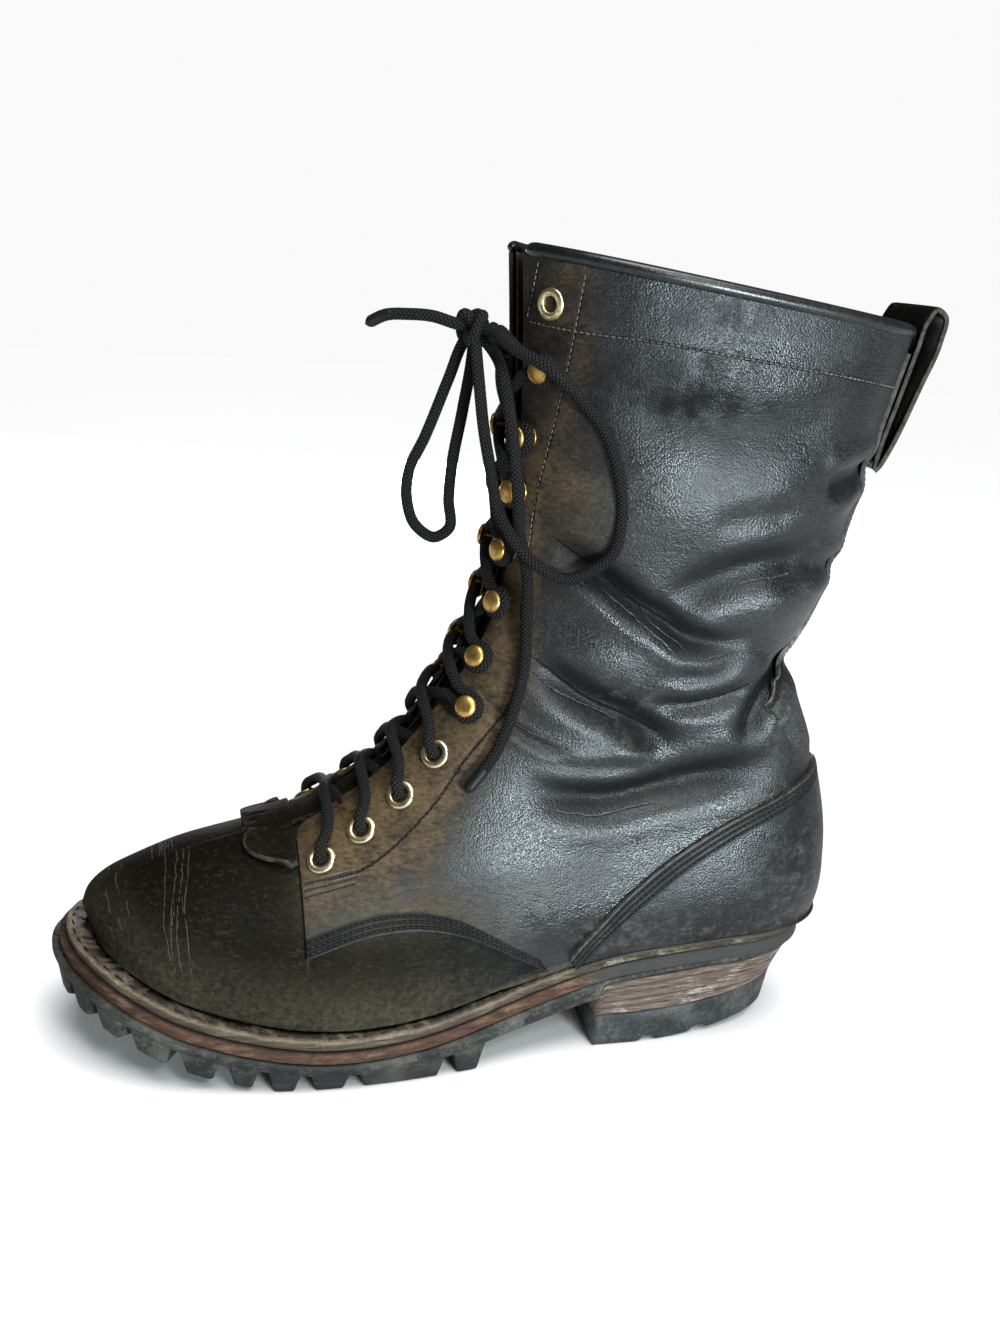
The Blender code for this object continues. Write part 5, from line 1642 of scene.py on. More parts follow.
            points[:, 1:9, 1] -= self.torn[2] * loose[:, 1:9]
        tips = (points[0], points[-1])
        ends = [np.repeat(tip.mean(axis=0)[None, None], points.shape[1], axis=1) for tip in tips]
        points = np.concatenate([ends[0], points, ends[1]])
        # Painted shade on the underside, lower face and tuck under the upper (trough mask); painted highlight
        # on top edge (dust mask).
        shade = np.zeros(points.shape[1])
        shade[1:5] = 0.4
        shade[8:10] = 0.9
        painted_rim_highlight = np.zeros(points.shape[1])
        painted_rim_highlight[4:7] = (0.1, 0.55, 0.3)
        thing = Bench.grid(name, points, {"trough": shade[None], "dust": painted_rim_highlight[None]}, closed=True)
        return Bench.dress(thing, finish, Slot.WELT, name)

    def lug_line(self, inset: float) -> Array:
        """The outsole's edge from the medial side round the toe to the lateral side.

        Args:
            inset: how far inside the edge.

        Returns:
            The points as x and y.
        """
        x = LAST.toe_x + (self.breast_x - LAST.toe_x) * np.linspace(0.0, 1.0, 201) ** 2
        insets = np.full_like(x, inset)
        medial, lateral = self.edge(x, Side.MEDIAL, 3, insets), self.edge(x, Side.LATERAL, 3, insets)
        return np.concatenate([medial[:0:-1], lateral])

    def block(self, name: str, corners: Array) -> Thing:
        """A rubber block from a cube primitive whose points are spread between two lines at two heights.

        Args:
            name: the piece's name.
            corners: points by height, then inner and outer line, then along the line.

        Returns:
            The block with worn, rounded edges.
        """
        thing = Bench.start(name, bpy.ops.mesh.primitive_cube_add, size=2.0)
        Bench.edit(lambda: bpy.ops.mesh.subdivide(number_cuts=3))
        shares = np.array([tuple(v.co) for v in thing.data.vertices]) * 0.5 + 0.5
        steps = np.linspace(0.0, 1.0, corners.shape[2])
        lines = [
            [[np.interp(shares[:, 0], steps, rail[:, i]) for i in range(3)] for rail in level]
            for level in corners
        ]
        lines = np.array(lines)
        across = lines[:, 0] + (lines[:, 1] - lines[:, 0]) * shares[:, 1]
        places = (across[0] + (across[1] - across[0]) * shares[:, 2]).T
        thing.data.vertices.foreach_set("co", to_frame(places).ravel())
        Bench.clean(thing, True)
        Bench.modify(
            thing, "BEVEL", width=1.1 * MM, segments=3, limit_method="ANGLE", angle_limit=math.radians(40),
        )
        dust = thing.data.attributes.new("dust", "FLOAT", "POINT")
        height = np.array([v.co.z for v in thing.data.vertices])
        dust.data.foreach_set("value", 0.5 * fade(height, 0.004, 0.012))
        return thing

    def lugs(self) -> list[Thing]:
        """The edge lugs with sloping ends, and the chevron cleats between them.

        Returns:
            The blocks.
        """
        outer, foot = self.lug_line(self.side_step), self.lug_line(self.side_step + self.lug_draft)
        inner = self.lug_line(self.side_step + self.lug_reach)
        run = lengths_along(outer)
        run = run - run[len(outer) // 2]
        slots = sorted([-slot for slot in self.lug_slots] + list(self.lug_slots))
        blocks = []
        for begin, end in zip(slots, slots[1:]):
            heights = []
            low = (begin + 0.5 * self.lug_slot + self.lug_draft, end - 0.5 * self.lug_slot - self.lug_draft)
            root = (begin + 0.3 * self.lug_slot, end - 0.3 * self.lug_slot)
            for line, span, height, lift in (
                (foot, low, self.lug_bottom, 0.0), (outer, root, self.outsole_bottom, self.lug_root),
            ):
                places = np.linspace(*span, 9)
                pair = []
                for rail in (inner, line):
                    flat = np.stack([np.interp(places, run, rail[:, i]) for i in (0, 1)], axis=1)
                    pair.append(np.column_stack([flat, height(flat[:, 0]) + lift]))
                heights.append(pair)
            blocks.append(self.block("lug", np.array(heights)))
        for x in self.cleat_x:
            lateral, medial, axis = (float(v) for v in LAST.outline(np.float64(x)))
            room = float(from_table(self.edges, 3, x)) - self.side_step - self.lug_reach - self.lug_slot
            y = np.linspace(axis - lateral - room, axis + medial + room, 9)
            bow = self.cleat_sweep * (1.0 - np.abs((y - axis) / (y[-1] - axis)))
            front = x - bow
            heights = []
            for height, lift in ((self.lug_bottom, 0.0), (self.outsole_bottom, self.lug_root)):
                pair = []
                for line in (front + self.cleat_length, front):
                    pair.append(np.column_stack([line, y, height(line) + lift]))
                heights.append(pair)
            blocks.append(self.block("cleat", np.array(heights)))
        return blocks

    def heel_outline(self, share: float, stations: int = 48) -> tuple[Array, Array]:
        """The heel's outline at a share of its height.

        Args:
            share: 0 at the floor, 1 under the outsole.
            stations: points from the breast to the back.

        Returns:
            The lateral and the medial line as x and y.
        """
        x = self.breast_x + (LAST.heel_x - self.breast_x) * np.sin(np.linspace(0.0, QUARTER_TURN, stations))
        lateral, medial, axis = LAST.outline(x)
        rear, width = (from_table(self.heel_taper, column, share) for column in (1, 2))
        place = self.breast_x + (x - self.breast_x) * (rear - self.breast_x) / (LAST.heel_x - self.breast_x)
        pinch = self.heel_pinch[0] + share * (self.heel_pinch[1] - self.heel_pinch[0])
        width = width * (1.0 - pinch * fade(place, *self.pinch_span))
        lines = (axis - lateral * width, axis + medial * width)
        return tuple(np.stack([place, line], axis=1) for line in lines)

    def worn_away(self, x: Array) -> Array:
        """How much the heel has lost at its back edge.

        Args:
            x: places along the boot.

        Returns:
            The loss in millimetres.
        """
        worn = self.heel_wear * fade(x, *self.wear_span)
        for groove in self.grooves:
            worn = worn + self.groove_depth * np.exp(-((2.0 * (x - groove) / self.groove_width) ** 4))
        return worn

    def top_lift_height(self, x: Array) -> Array:
        """Height of the joint between the top lift and the leather stack.

        Args:
            x: places along the boot.

        Returns:
            The heights.
        """
        share = (x - self.breast_x) / (self.heel_taper[0][1] - self.breast_x)
        worn = self.heel_wear * fade(x, *self.wear_span)
        return self.top_lift[0] + share * (self.top_lift[1] - self.top_lift[0]) + 0.8 * worn

    def heel_block(self, name: str, levels: Sequence[tuple], masks: dict[str, Array]) -> Thing:
        """A block of the heel through levels from the bottom up.

        Args:
            name: the piece's name.
            levels: share of the heel's height for the outline, height at x, and inset from the outline.
            masks: values at the levels, by name.

        Returns:
            The closed block.
        """
        columns = []
        for side in (0, 1):
            for share, height, inset in levels if side == 0 else levels[::-1]:
                line = self.heel_outline(share)[side]
                middle = np.array((0.5 * (line[0, 0] + line[-1, 0]), 0.0))
                reach = np.linalg.norm(line - middle, axis=1, keepdims=True)
                line = middle + (line - middle) * (1.0 - inset / np.maximum(reach, 1.0))
                columns.append(np.column_stack([line, height(line[:, 0])]))
        columns.append(columns[0])
        points = np.stack(columns, axis=1)
        breast = points[:1].copy()
        breast[..., 1] *= 0.0
        points = np.concatenate([breast, points])
        marks = {}
        for mask, values in masks.items():
            ring = np.concatenate([values, values[::-1], values[:1]])
            marks[mask] = np.broadcast_to(ring, points.shape[:2])
        return Bench.grid(name, points, marks, closed=True)

    def build_heel(self) -> None:
        """The stack of leather lifts, with a worn groove at each joint, and the rubber top lift."""
        levels, trough = [], []
        for number in range(self.lifts):
            for step, inset, dark in self.lift_profile:
                share = (number + step) / self.lifts

                def height(x: Array, share: float = share) -> Array:
                    """Height of this level of the stack."""
                    low = self.top_lift_height(x) + self.gap
                    return low + share * (self.outsole_bottom(x) - self.gap - low)

                levels.append((0.5 + 0.5 * share, height, inset))
                trough.append(dark)
        # The trough mask paints shade into the groove at each joint.
        stack = self.heel_block("heel_stack", levels, {"trough": np.array(trough) * 0.8})
        Bench.dress(stack, self.finishes.stack, Slot.BROWN, "heel_lift_1", "heel_lift_2", "heel_lift_3")
        levels = []
        for share, inset in self.top_lift_profile:

            def rise(x: Array, share: float = share) -> Array:
                """Height of this level of the top lift."""
                return share * self.top_lift_height(x) + (1.0 - share) * self.worn_away(x)

            levels.append((0.5 * share, rise, inset))
        lift = self.heel_block("heel_top_lift_rubber", levels, {"dust": np.linspace(0.1, 0.5, len(levels))})
        Bench.dress(lift, self.finishes.lift_rubber, Slot.RUBBER, "heel_top_lift")

    def build(self) -> None:
        """Make every piece of the sole."""
        outsole = self.layer(
            "outsole_rubber", 3,
            (
                (26.0, 0.0), (2.2, 0.0), (1.4, 0.06), (1.2, 0.16), (1.2, 0.38), (1.0, 0.44), (0.25, 0.5),
                (0.0, 0.6), (0.0, 0.86), (0.25, 0.97), (0.8, 1.0), (26.0, 1.0),
            ),
            self.outsole_bottom, lambda x: self.midsole_bottom(x) - self.gap,
            lambda x, share: {
                "dust": 0.3 + 0.5 * np.exp(-(((share - 0.55) / 0.18) ** 2)) + 0.25 * fade(x, -20.0, 20.0)
            },
        )
        outsole = Bench.join("outsole_lugged", [outsole, *self.lugs()], True)
        Bench.dress(outsole, self.finishes.rubber, Slot.RUBBER, "outsole")
        midsole = self.layer(
            "midsole_edge", 2,
            (
                (26.0, 0.0), (0.8, 0.0), (0.25, 0.06), (0.0, 0.2), (0.0, 0.55), (0.05, 0.85), (0.4, 0.97),
                (1.2, 1.0), (26.0, 1.0),
            ),
            self.midsole_bottom, lambda x: self.welt_bottom(x) - self.gap,
            lambda x, share: {
                "dust": 0.6 * np.exp(-(((share - 0.04) / 0.1) ** 2)) + 0.0 * x,
                # trough paints shade along the midsole's top, under the welt.
                "trough": 0.8 * fade(share, 0.86, 1.0) + 0.0 * x, "grey": fade(x, 36.0, 50.0) + 0.0 * share,
            },
        )
        Bench.dress(midsole, self.finishes.midsole, Slot.BROWN, "midsole")
        tip = np.linspace(0.0, 1.0, 110) ** 2
        self.strip("welt", LAST.toe_x + (self.join_x - LAST.toe_x) * tip, self.finishes.welt, 0.45)
        back = np.linspace(0.0, 1.0, 60) ** 2
        start = self.join_x + self.gap
        self.strip("heel_rand", LAST.heel_x - (LAST.heel_x - start) * back, self.finishes.rand, 0.3)
        self.build_heel()
        insole = self.layer(
            "insole_board", 0,
            (
                (30.0, 0.0), (self.insole_inset + 6.0, 0.0), (self.insole_inset + 0.4, 0.1),
                (self.insole_inset, 0.5), (self.insole_inset + 0.5, 0.9), (self.insole_inset + 2.0, 1.0),
                (30.0, 1.0),
            ),
            lambda x: LAST.feather(x) + self.gap, lambda x: LAST.feather(x) + self.insole_rise,
        )
        Bench.dress(insole, self.finishes.insole, Slot.INSOLE, "insole")


class Edge(enum.Enum):
    """The two long edges of a panel laid on the last."""

    LOW = enum.auto()
    HIGH = enum.auto()


@dataclass
class Panel:
    """Where a panel's points lie and which way they face, so that seams can follow its edges."""

    points: Array
    outs: Array

    @staticmethod
    def turned(values: Array, edge: Edge) -> Array:
        """Values with their columns counted from an edge."""
        return values[:, ::-1] if edge == Edge.HIGH else values

    def distance(self, edge: Edge) -> Array:
        """How far each point lies from an edge, measured over the panel.

        Args:
            edge: the edge.

        Returns:
            The distances in millimetres.
        """
        steps = np.linalg.norm(np.diff(self.turned(self.points, edge), axis=1), axis=2)
        run = np.concatenate([np.zeros((len(steps), 1)), np.cumsum(steps, axis=1)], axis=1)
        return self.turned(run, edge)

    def beside(self, edge: Edge, offset: float) -> tuple[Array, Array]:
        """A line at an even distance from an edge.

        Args:
            edge: the edge.
            offset: the distance in millimetres.

        Returns:
            The line's points and the way out of the leather at each.
        """
        points, outs = self.turned(self.points, edge), self.turned(self.outs, edge)
        run = self.turned(self.distance(edge), edge)
        wide = [index for index in range(len(run)) if run[index, -1] > offset]
        places = [[np.interp(offset, run[i], points[i, :, k]) for k in range(3)] for i in wide]
        ways = [[np.interp(offset, run[i], outs[i, :, k]) for k in range(3)] for i in wide]
        return np.array(places), np.array(ways)


@dataclass
class Upper:
    """Vamp, quarters, lining, tongue, kiltie, counter, backstay, collar roll and pull loop."""

    finishes: Finishes
    step: float = FACE
    panel: float = 1.5
    wall: float = 2.4
    overlay_top: float = 3.7
    overlay: float = 2.0
    spacing: float = 1.35
    throat: float = 11.0
    quarter_row: float = 5.97
    wing_row: float = 9.3
    lap_end: float = 9.0
    corner: float = 7.0
    collar_tuck: float = 0.06
    seat_rise: float = 0.5
    quarter_edge: Line = ((-76, 52), (-71, 54), (-46, 62), (-11, 59), (11, 47), (26, 37.8))
    counter_edge: Line = (
        (27, 36), (36, 52), (46, 66), (62, 81), (85, 97), (110, 110), (130, 118), (143, 120),
    )
    counter_rows: tuple[float, float] = (9.24, 15.7)
    counter_rise: float = 1.2
    flare: Line = (
        (126, 117), (119, 129), (110, 134), (102, 142), (103, 150), (108, 159), (115, 166), (120, 174),
        (124, 186), (131, 215), (141, 254), (147, 276),
    )
    tongue: tuple = ((5.1, 2.75), (5.5, 2.75), (6.2, 4.0), (7.0, 4.0), (22.14, 4.2))
    tongue_half: float = 28.0
    tongue_thick: float = 2.2
    kiltie: tuple = (
        (5.2, 28.0, 2.2), (5.5, 30.0, 1.2), (5.92, 30.0, 1.2), (5.95, 9.2, 1.0), (6.4, 8.5, -0.8),
        (8.0, 8.0, -3.0),
    )
    kiltie_thick: float = 1.8
    teeth: int = 6
    tooth: float = 0.2
    roll: float = 2.6
    roll_rise: float = 0.6
    loop_width: float = 36.0
    loop_thick: float = 2.1
    loop_radius: float = 38.0
    loop_curve: tuple = ((0.0, 1.0), (0.42, 1.0), (0.54, 0.7), (0.8, 0.9), (1.0, 1.0))
    loop_path: Line = (
        (148.6, 242), (150.8, 252), (155.2, 268), (160.0, 288), (162.0, 298), (164.8, 302.4), (167.9, 300.4),
        (167.4, 291), (162.6, 274), (157.6, 258), (154.6, 250), (151.6, 243.5), (149.9, 240.5),
    )
    panels: dict[str, Panel] = field(default_factory=dict)

    def laid(
        self, name: str, rows: Array, low: Array, high: Array, columns: int, side: Side, lift: float | Array,
        folded: float = 1.0, rise: float = 0.5, cut: Sequence[Edge] = (), cut_to: float = 99.0,
    ) -> Thing:
        """A panel laid on the last between two angles, with the folds and wear of its place, and painted
        shade and sheen.

        Args:
            name: the piece's name, under which its points are kept.
            rows: the rows it runs through.
            low: its lower angle at each row.
            high: its upper angle at each row.
            columns: points from the one to the other.
            side: the half of the boot.
            lift: height of its face over the last, one for all or one for each row.
            folded: how much of the folds it takes.
            rise: height of its foot over the feather line.
            cut: which of its edges are cut and sewn.
            cut_to: the row at which a cut lower edge ends.

        Returns:
            The panel as a sheet.
        """
        share = np.linspace(0.0, 1.0, columns)
        angle = low[:, None] + (high - low)[:, None] * share
        row = np.broadcast_to(rows[:, None], angle.shape)
        base = LAST.surface(row, angle, side)
        outs = LAST.normal(row, angle, side)
        height, folds, trough = WEAR.worn(base, side, folded)
        masks = WEAR.masks(base, side)
        points = base + outs * (lift + height)[..., None]
        seated = np.isclose(angle, -LAST.seat_angle(row, side)) & (row <= LAST.heel_row)
        points[..., 2] = np.where(seated, LAST.section(row).seat_z + rise, points[..., 2])
        panel = Panel(points, outs)
        self.panels[f"{name}_{side.word}"] = panel
        lap = np.full(angle.shape, 30.0)
        for edge in cut:
            near = panel.distance(edge)
            lap = np.minimum(lap, np.where(row < cut_to, near, 30.0) if edge == Edge.LOW else near)
        sewn = (1.0 - 0.75 * fade(base[..., 2], 168.0, 190.0)) * bool(cut)
        # ridge marks the fold tops, where a painted sheen lightens the leather.
        ridge = np.clip(folds / 2.4, 0.0, 1.0)
        # trough marks the fold troughs, where shade is painted.
        masks |= {"trough": trough * folded, "lap": lap, "lap_on": sewn, "ridge": ridge}
        if not folded:
            masks = {mask: marks for mask, marks in masks.items() if not mask.startswith(("crease", "seam"))}
        return Bench.grid(f"{name}_{side.word}", points, masks)

    def build_vamp(self) -> None:
        """The vamp from the toe to its wings under the quarters."""
        rows = LAST.even_rows(0.0, self.wing_row, self.spacing)
        rows = np.unique(np.concatenate([rows, np.linspace(0.0, 0.6, 10), np.linspace(6.0, 6.5, 6)]))
        halves = []
        for side in Side:
            low = -LAST.seat_angle(rows, side)
            tuck = LAST.angle_at_edge(np.maximum(rows, 6.0), self.quarter_edge, side) + 0.14
            high = QUARTER_TURN + (tuck - QUARTER_TURN) * fade(rows, 6.05, 6.5)
            halves.append(self.laid("vamp", rows, low, high, 90, side, 0.0, rise=self.seat_rise))
        vamp = Bench.join("vamp", halves)
        Bench.thicken(vamp, self.wall)
        Bench.dress(vamp, self.finishes.vamp, Slot.BLACK, "upper")

    def build_quarters(self) -> None:
        """The two quarters, which lap over the vamp and make the shaft, and their lining."""
        rows = LAST.even_rows(self.quarter_row, LAST.collar_row + self.collar_tuck, self.spacing)
        for side in Side:
            seat = -LAST.seat_angle(rows, side)
            edge = LAST.angle_at_edge(np.clip(rows, 6.0, 9.0), self.quarter_edge, side)
            low = np.where(rows < self.lap_end, edge, seat)
            inward = np.maximum(self.corner - self.spacing * np.arange(len(rows)), 0.0)
            rounded = self.corner - np.sqrt(self.corner**2 - inward**2)
            high = LAST.angle_at_half(rows, self.throat + rounded, side, most=0.6)
            panel = self.laid(
                "quarter", rows, low, high, 112, side, self.step, rise=self.seat_rise,
                cut=(Edge.LOW,), cut_to=self.lap_end,
            )
            Bench.thicken(panel, self.panel, 0.35)
            Bench.dress(panel, self.finishes.leather, Slot.BLACK, "upper")
            inside = LAST.even_rows(6.2, LAST.collar_row + self.collar_tuck, 3.0)
            low = -LAST.seat_angle(inside, side)
            high = LAST.angle_at_half(inside, self.throat + 0.6, side)
            depth = self.wall + 0.2 - 1.5 * fade(inside, self.wing_row, self.wing_row + 0.8)[:, None]
            lining = self.laid("lining", inside, low, high, 50, side, -depth)
            Bench.thicken(lining, 0.8)
            Bench.dress(lining, self.finishes.lining, Slot.BLACK, "upper")

    def build_counter(self) -> None:
        """The heel's overlay, from the feather line to its own top edge, round the back."""
        rows = LAST.even_rows(*self.counter_rows, self.spacing, -0.6)
        halves = []
        for side in Side:
            low = -LAST.seat_angle(rows, side)
            high = np.maximum(LAST.angle_at_edge(rows, self.counter_edge, side), low + 0.01)
            ways = {"folded": 0.0, "rise": self.counter_rise, "cut": (Edge.HIGH,)}
            halves.append(self.laid("counter", rows, low, high, 64, side, self.overlay_top, **ways))
        counter = Bench.join("counter_overlay", halves)
        Bench.thicken(counter, self.overlay, 0.5)
        Bench.dress(counter, self.finishes.counter, Slot.BLACK, "counter")

    def build_backstay(self) -> None:
        """The strip over the back seam, flared at its foot as its outline from the side shows."""
        rows = LAST.even_rows(15.3, 21.9, self.spacing, -QUARTER_TURN)
        knots = np.array(self.flare)
        seen, turned = LAST.locate(knots[:, 0], knots[:, 1], Side.LATERAL)
        width = np.abs(LAST.surface(seen, turned, Side.LATERAL)[:, 1])
        order = np.argsort(seen)
        half = np.interp(rows, seen[order], width[order])
        sides = []
        for side in Side:
            sizes = LAST.section(rows)
            share = np.minimum(half / sizes.half[side], 0.97)
            low = -np.arccos(LAST.cosine_at(share, sizes.low_full))
            back = np.full(len(rows), -QUARTER_TURN + 1e-4)
            lift = self.overlay_top - 0.5 - 1.6 * (1.0 - fade(rows, 15.65, 16.1))[:, None]
            sides.append(self.laid("backstay", rows, back, low, 26, side, lift, 0.5, cut=(Edge.HIGH,)))
        stay = Bench.join("backstay_strip", sides)
        Bench.thicken(stay, self.overlay - 0.2, 0.4)
        Bench.dress(stay, self.finishes.stay, Slot.BLACK, "backstay")

    def build_tongue(self) -> None:
        """The tongue under the facings, with soft waves across it."""
        rows = LAST.even_rows(5.1, 22.14, 2.0, 1.2)
        depth = from_table(self.tongue, 1, rows)
        share = np.linspace(0.0, 1.0, 17)
        lines = []
        for side in Side:
            edge = LAST.angle_at_half(rows, self.tongue_half, side, most=0.9)
            angle = edge[:, None] + (QUARTER_TURN - edge)[:, None] * share
            row = np.broadcast_to(rows[:, None], angle.shape)
            wave = 0.5 * np.sin(rows * 5.2)[:, None] * fade(rows, 6.5, 8.0)[:, None]
            lines.append(LAST.lifted(row, angle, side, -depth[:, None] + wave))
        points = np.concatenate([lines[0], lines[1][:, -2::-1]], axis=1)
        brown = np.full(points.shape[:2], 0.35)
        brown[-4:] = 0.9
        whole = np.ones(points.shape[:2])
        masks = {"rub": brown, "olive": whole, "raw": fade(rows, 21.9, 22.1)[:, None] * whole}
        tongue = Bench.grid("tongue_leather", points, masks)
        Bench.thicken(tongue, self.tongue_thick, 0.5)
        Bench.dress(tongue, self.finishes.vamp, Slot.BLACK, "tongue")

    def build_kiltie(self) -> None:
        """The false tongue: a flap on the vamp with a toothed front, and a neck up the throat."""
        table = np.array(self.kiltie)
        spans = ((5.2, 5.9, 24), (5.9, 5.96, 8), (5.96, 8.0, 30))
        rows = np.unique(np.concatenate([np.linspace(*span) for span in spans]))
        half, lift = (np.interp(rows, table[:, 0], table[:, column]) for column in (1, 2))
        count = 8 * self.teeth + 1
        share = np.linspace(0.0, 1.0, count)
        saw = 1.0 - np.abs((share * self.teeth) % 1.0 * 2.0 - 1.0)
        lines, raws = [], []
        for side in Side:
            edge = LAST.angle_at_half(rows, half, side, most=0.9)
            angle = edge[:, None] + (QUARTER_TURN - edge)[:, None] * share
            lobe = 0.62 * (1.0 - np.minimum(share / 0.5, 1.0)) ** 2
            front = lobe + self.tooth * saw * fade(share, 0.55, 0.75)
            row = rows[:, None] + front * np.clip((5.95 - rows) / 0.75, 0.0, 1.0)[:, None]
            over = np.broadcast_to((lift + self.kiltie_thick)[:, None], row.shape)
            lines.append(LAST.lifted(row, angle, side, over))
            rim = 1.0 - fade(share, 0.0, 0.06)[None] * np.ones((len(rows), 1))
            cut = np.maximum(rim, 1.0 - fade(rows, 5.2, 5.24)[:, None])
            raws.append(cut * np.ones(row.shape))
        points = np.concatenate([lines[0], lines[1][:, -2::-1]], axis=1)
        raw = np.concatenate([raws[0], raws[1][:, -2::-1]], axis=1)
        masks = {"rub": np.full(points.shape[:2], 0.22), "olive": np.ones(points.shape[:2]), "raw": raw}
        kiltie = Bench.grid("kiltie_flap", points, masks)
        Bench.thicken(kiltie, self.kiltie_thick, 0.4)
        Bench.dress(kiltie, self.finishes.vamp, Slot.BROWN, "kiltie")

    def build_collar(self) -> None:
        """The rolled binding along the collar's edge."""
        lines = []
        for side in Side:
            throat = float(LAST.angle_at_half(LAST.collar_row, self.throat, side))
            angles = np.linspace(throat, -QUARTER_TURN, 90)
            rows, lift = np.full(90, LAST.collar_row), np.full(90, self.step - 0.5 * self.wall)
            line = LAST.lifted(rows, angles, side, lift)
            lines.append(line if side == Side.LATERAL else line[-2::-1])
        path = np.concatenate(lines) + (0.0, 0.0, self.roll + self.roll_rise)
        roll = Bench.tube("collar_binding", path, self.roll, 16)
        Bench.dress(roll, self.finishes.rolled, Slot.BLACK, "collar_roll")

    def build_loop(self) -> None:
        """The leather strap at the back, folded on itself, with raw edges."""
        line = smooth_route(self.loop_path, 1.4)
        run = lengths_along(line)
        along = np.roll(line, -1, axis=0) - np.roll(line, 1, axis=0)
        across = np.stack([along[:, 1], -along[:, 0]], axis=1) / np.linalg.norm(along, axis=1, keepdims=True)
        curve = from_table(self.loop_curve, 1, run / run[-1])
        half = 0.5 * self.loop_width
        ring = [(y, 0.5) for y in np.linspace(-half + 0.5, half - 0.5, 15)]
        ring += [(half - 0.1, 0.32), (half, 0.0), (half - 0.1, -0.32)]
        ring += [(-y, -0.5) for y in np.linspace(-half + 0.5, half - 0.5, 15)]
        ring += [(-half + 0.1, -0.32), (-half, 0.0), (-half + 0.1, 0.32)]
        ring.append(ring[0])
        columns, raw = [], []
        for y, level in ring:
            flat = line + across * level * self.loop_thick
            bent = flat[:, 0] - curve * y * y / (2.0 * self.loop_radius)
            columns.append(np.column_stack([bent, np.full(len(flat), y), flat[:, 1]]))
            raw.append(1.0 if abs(y) > half - 0.3 else 0.0)
        points = np.stack(columns, axis=1)
        points = np.concatenate([points, points[:1]])
        masks = {"raw": np.array(raw)[None], "olive": np.full((1, 1), 0.3), "rub": np.full((1, 1), 0.12)}
        loop = Bench.grid("pull_strap", points, masks, closed=True)
        Bench.dress(loop, self.finishes.vamp, Slot.BLACK, "pull_loop")

    def build(self) -> None:
        """Make every piece of the upper."""
        self.build_vamp()
        self.build_quarters()
        self.build_counter()
        self.build_backstay()
        self.build_tongue()
        self.build_kiltie()
        self.build_collar()
        self.build_loop()


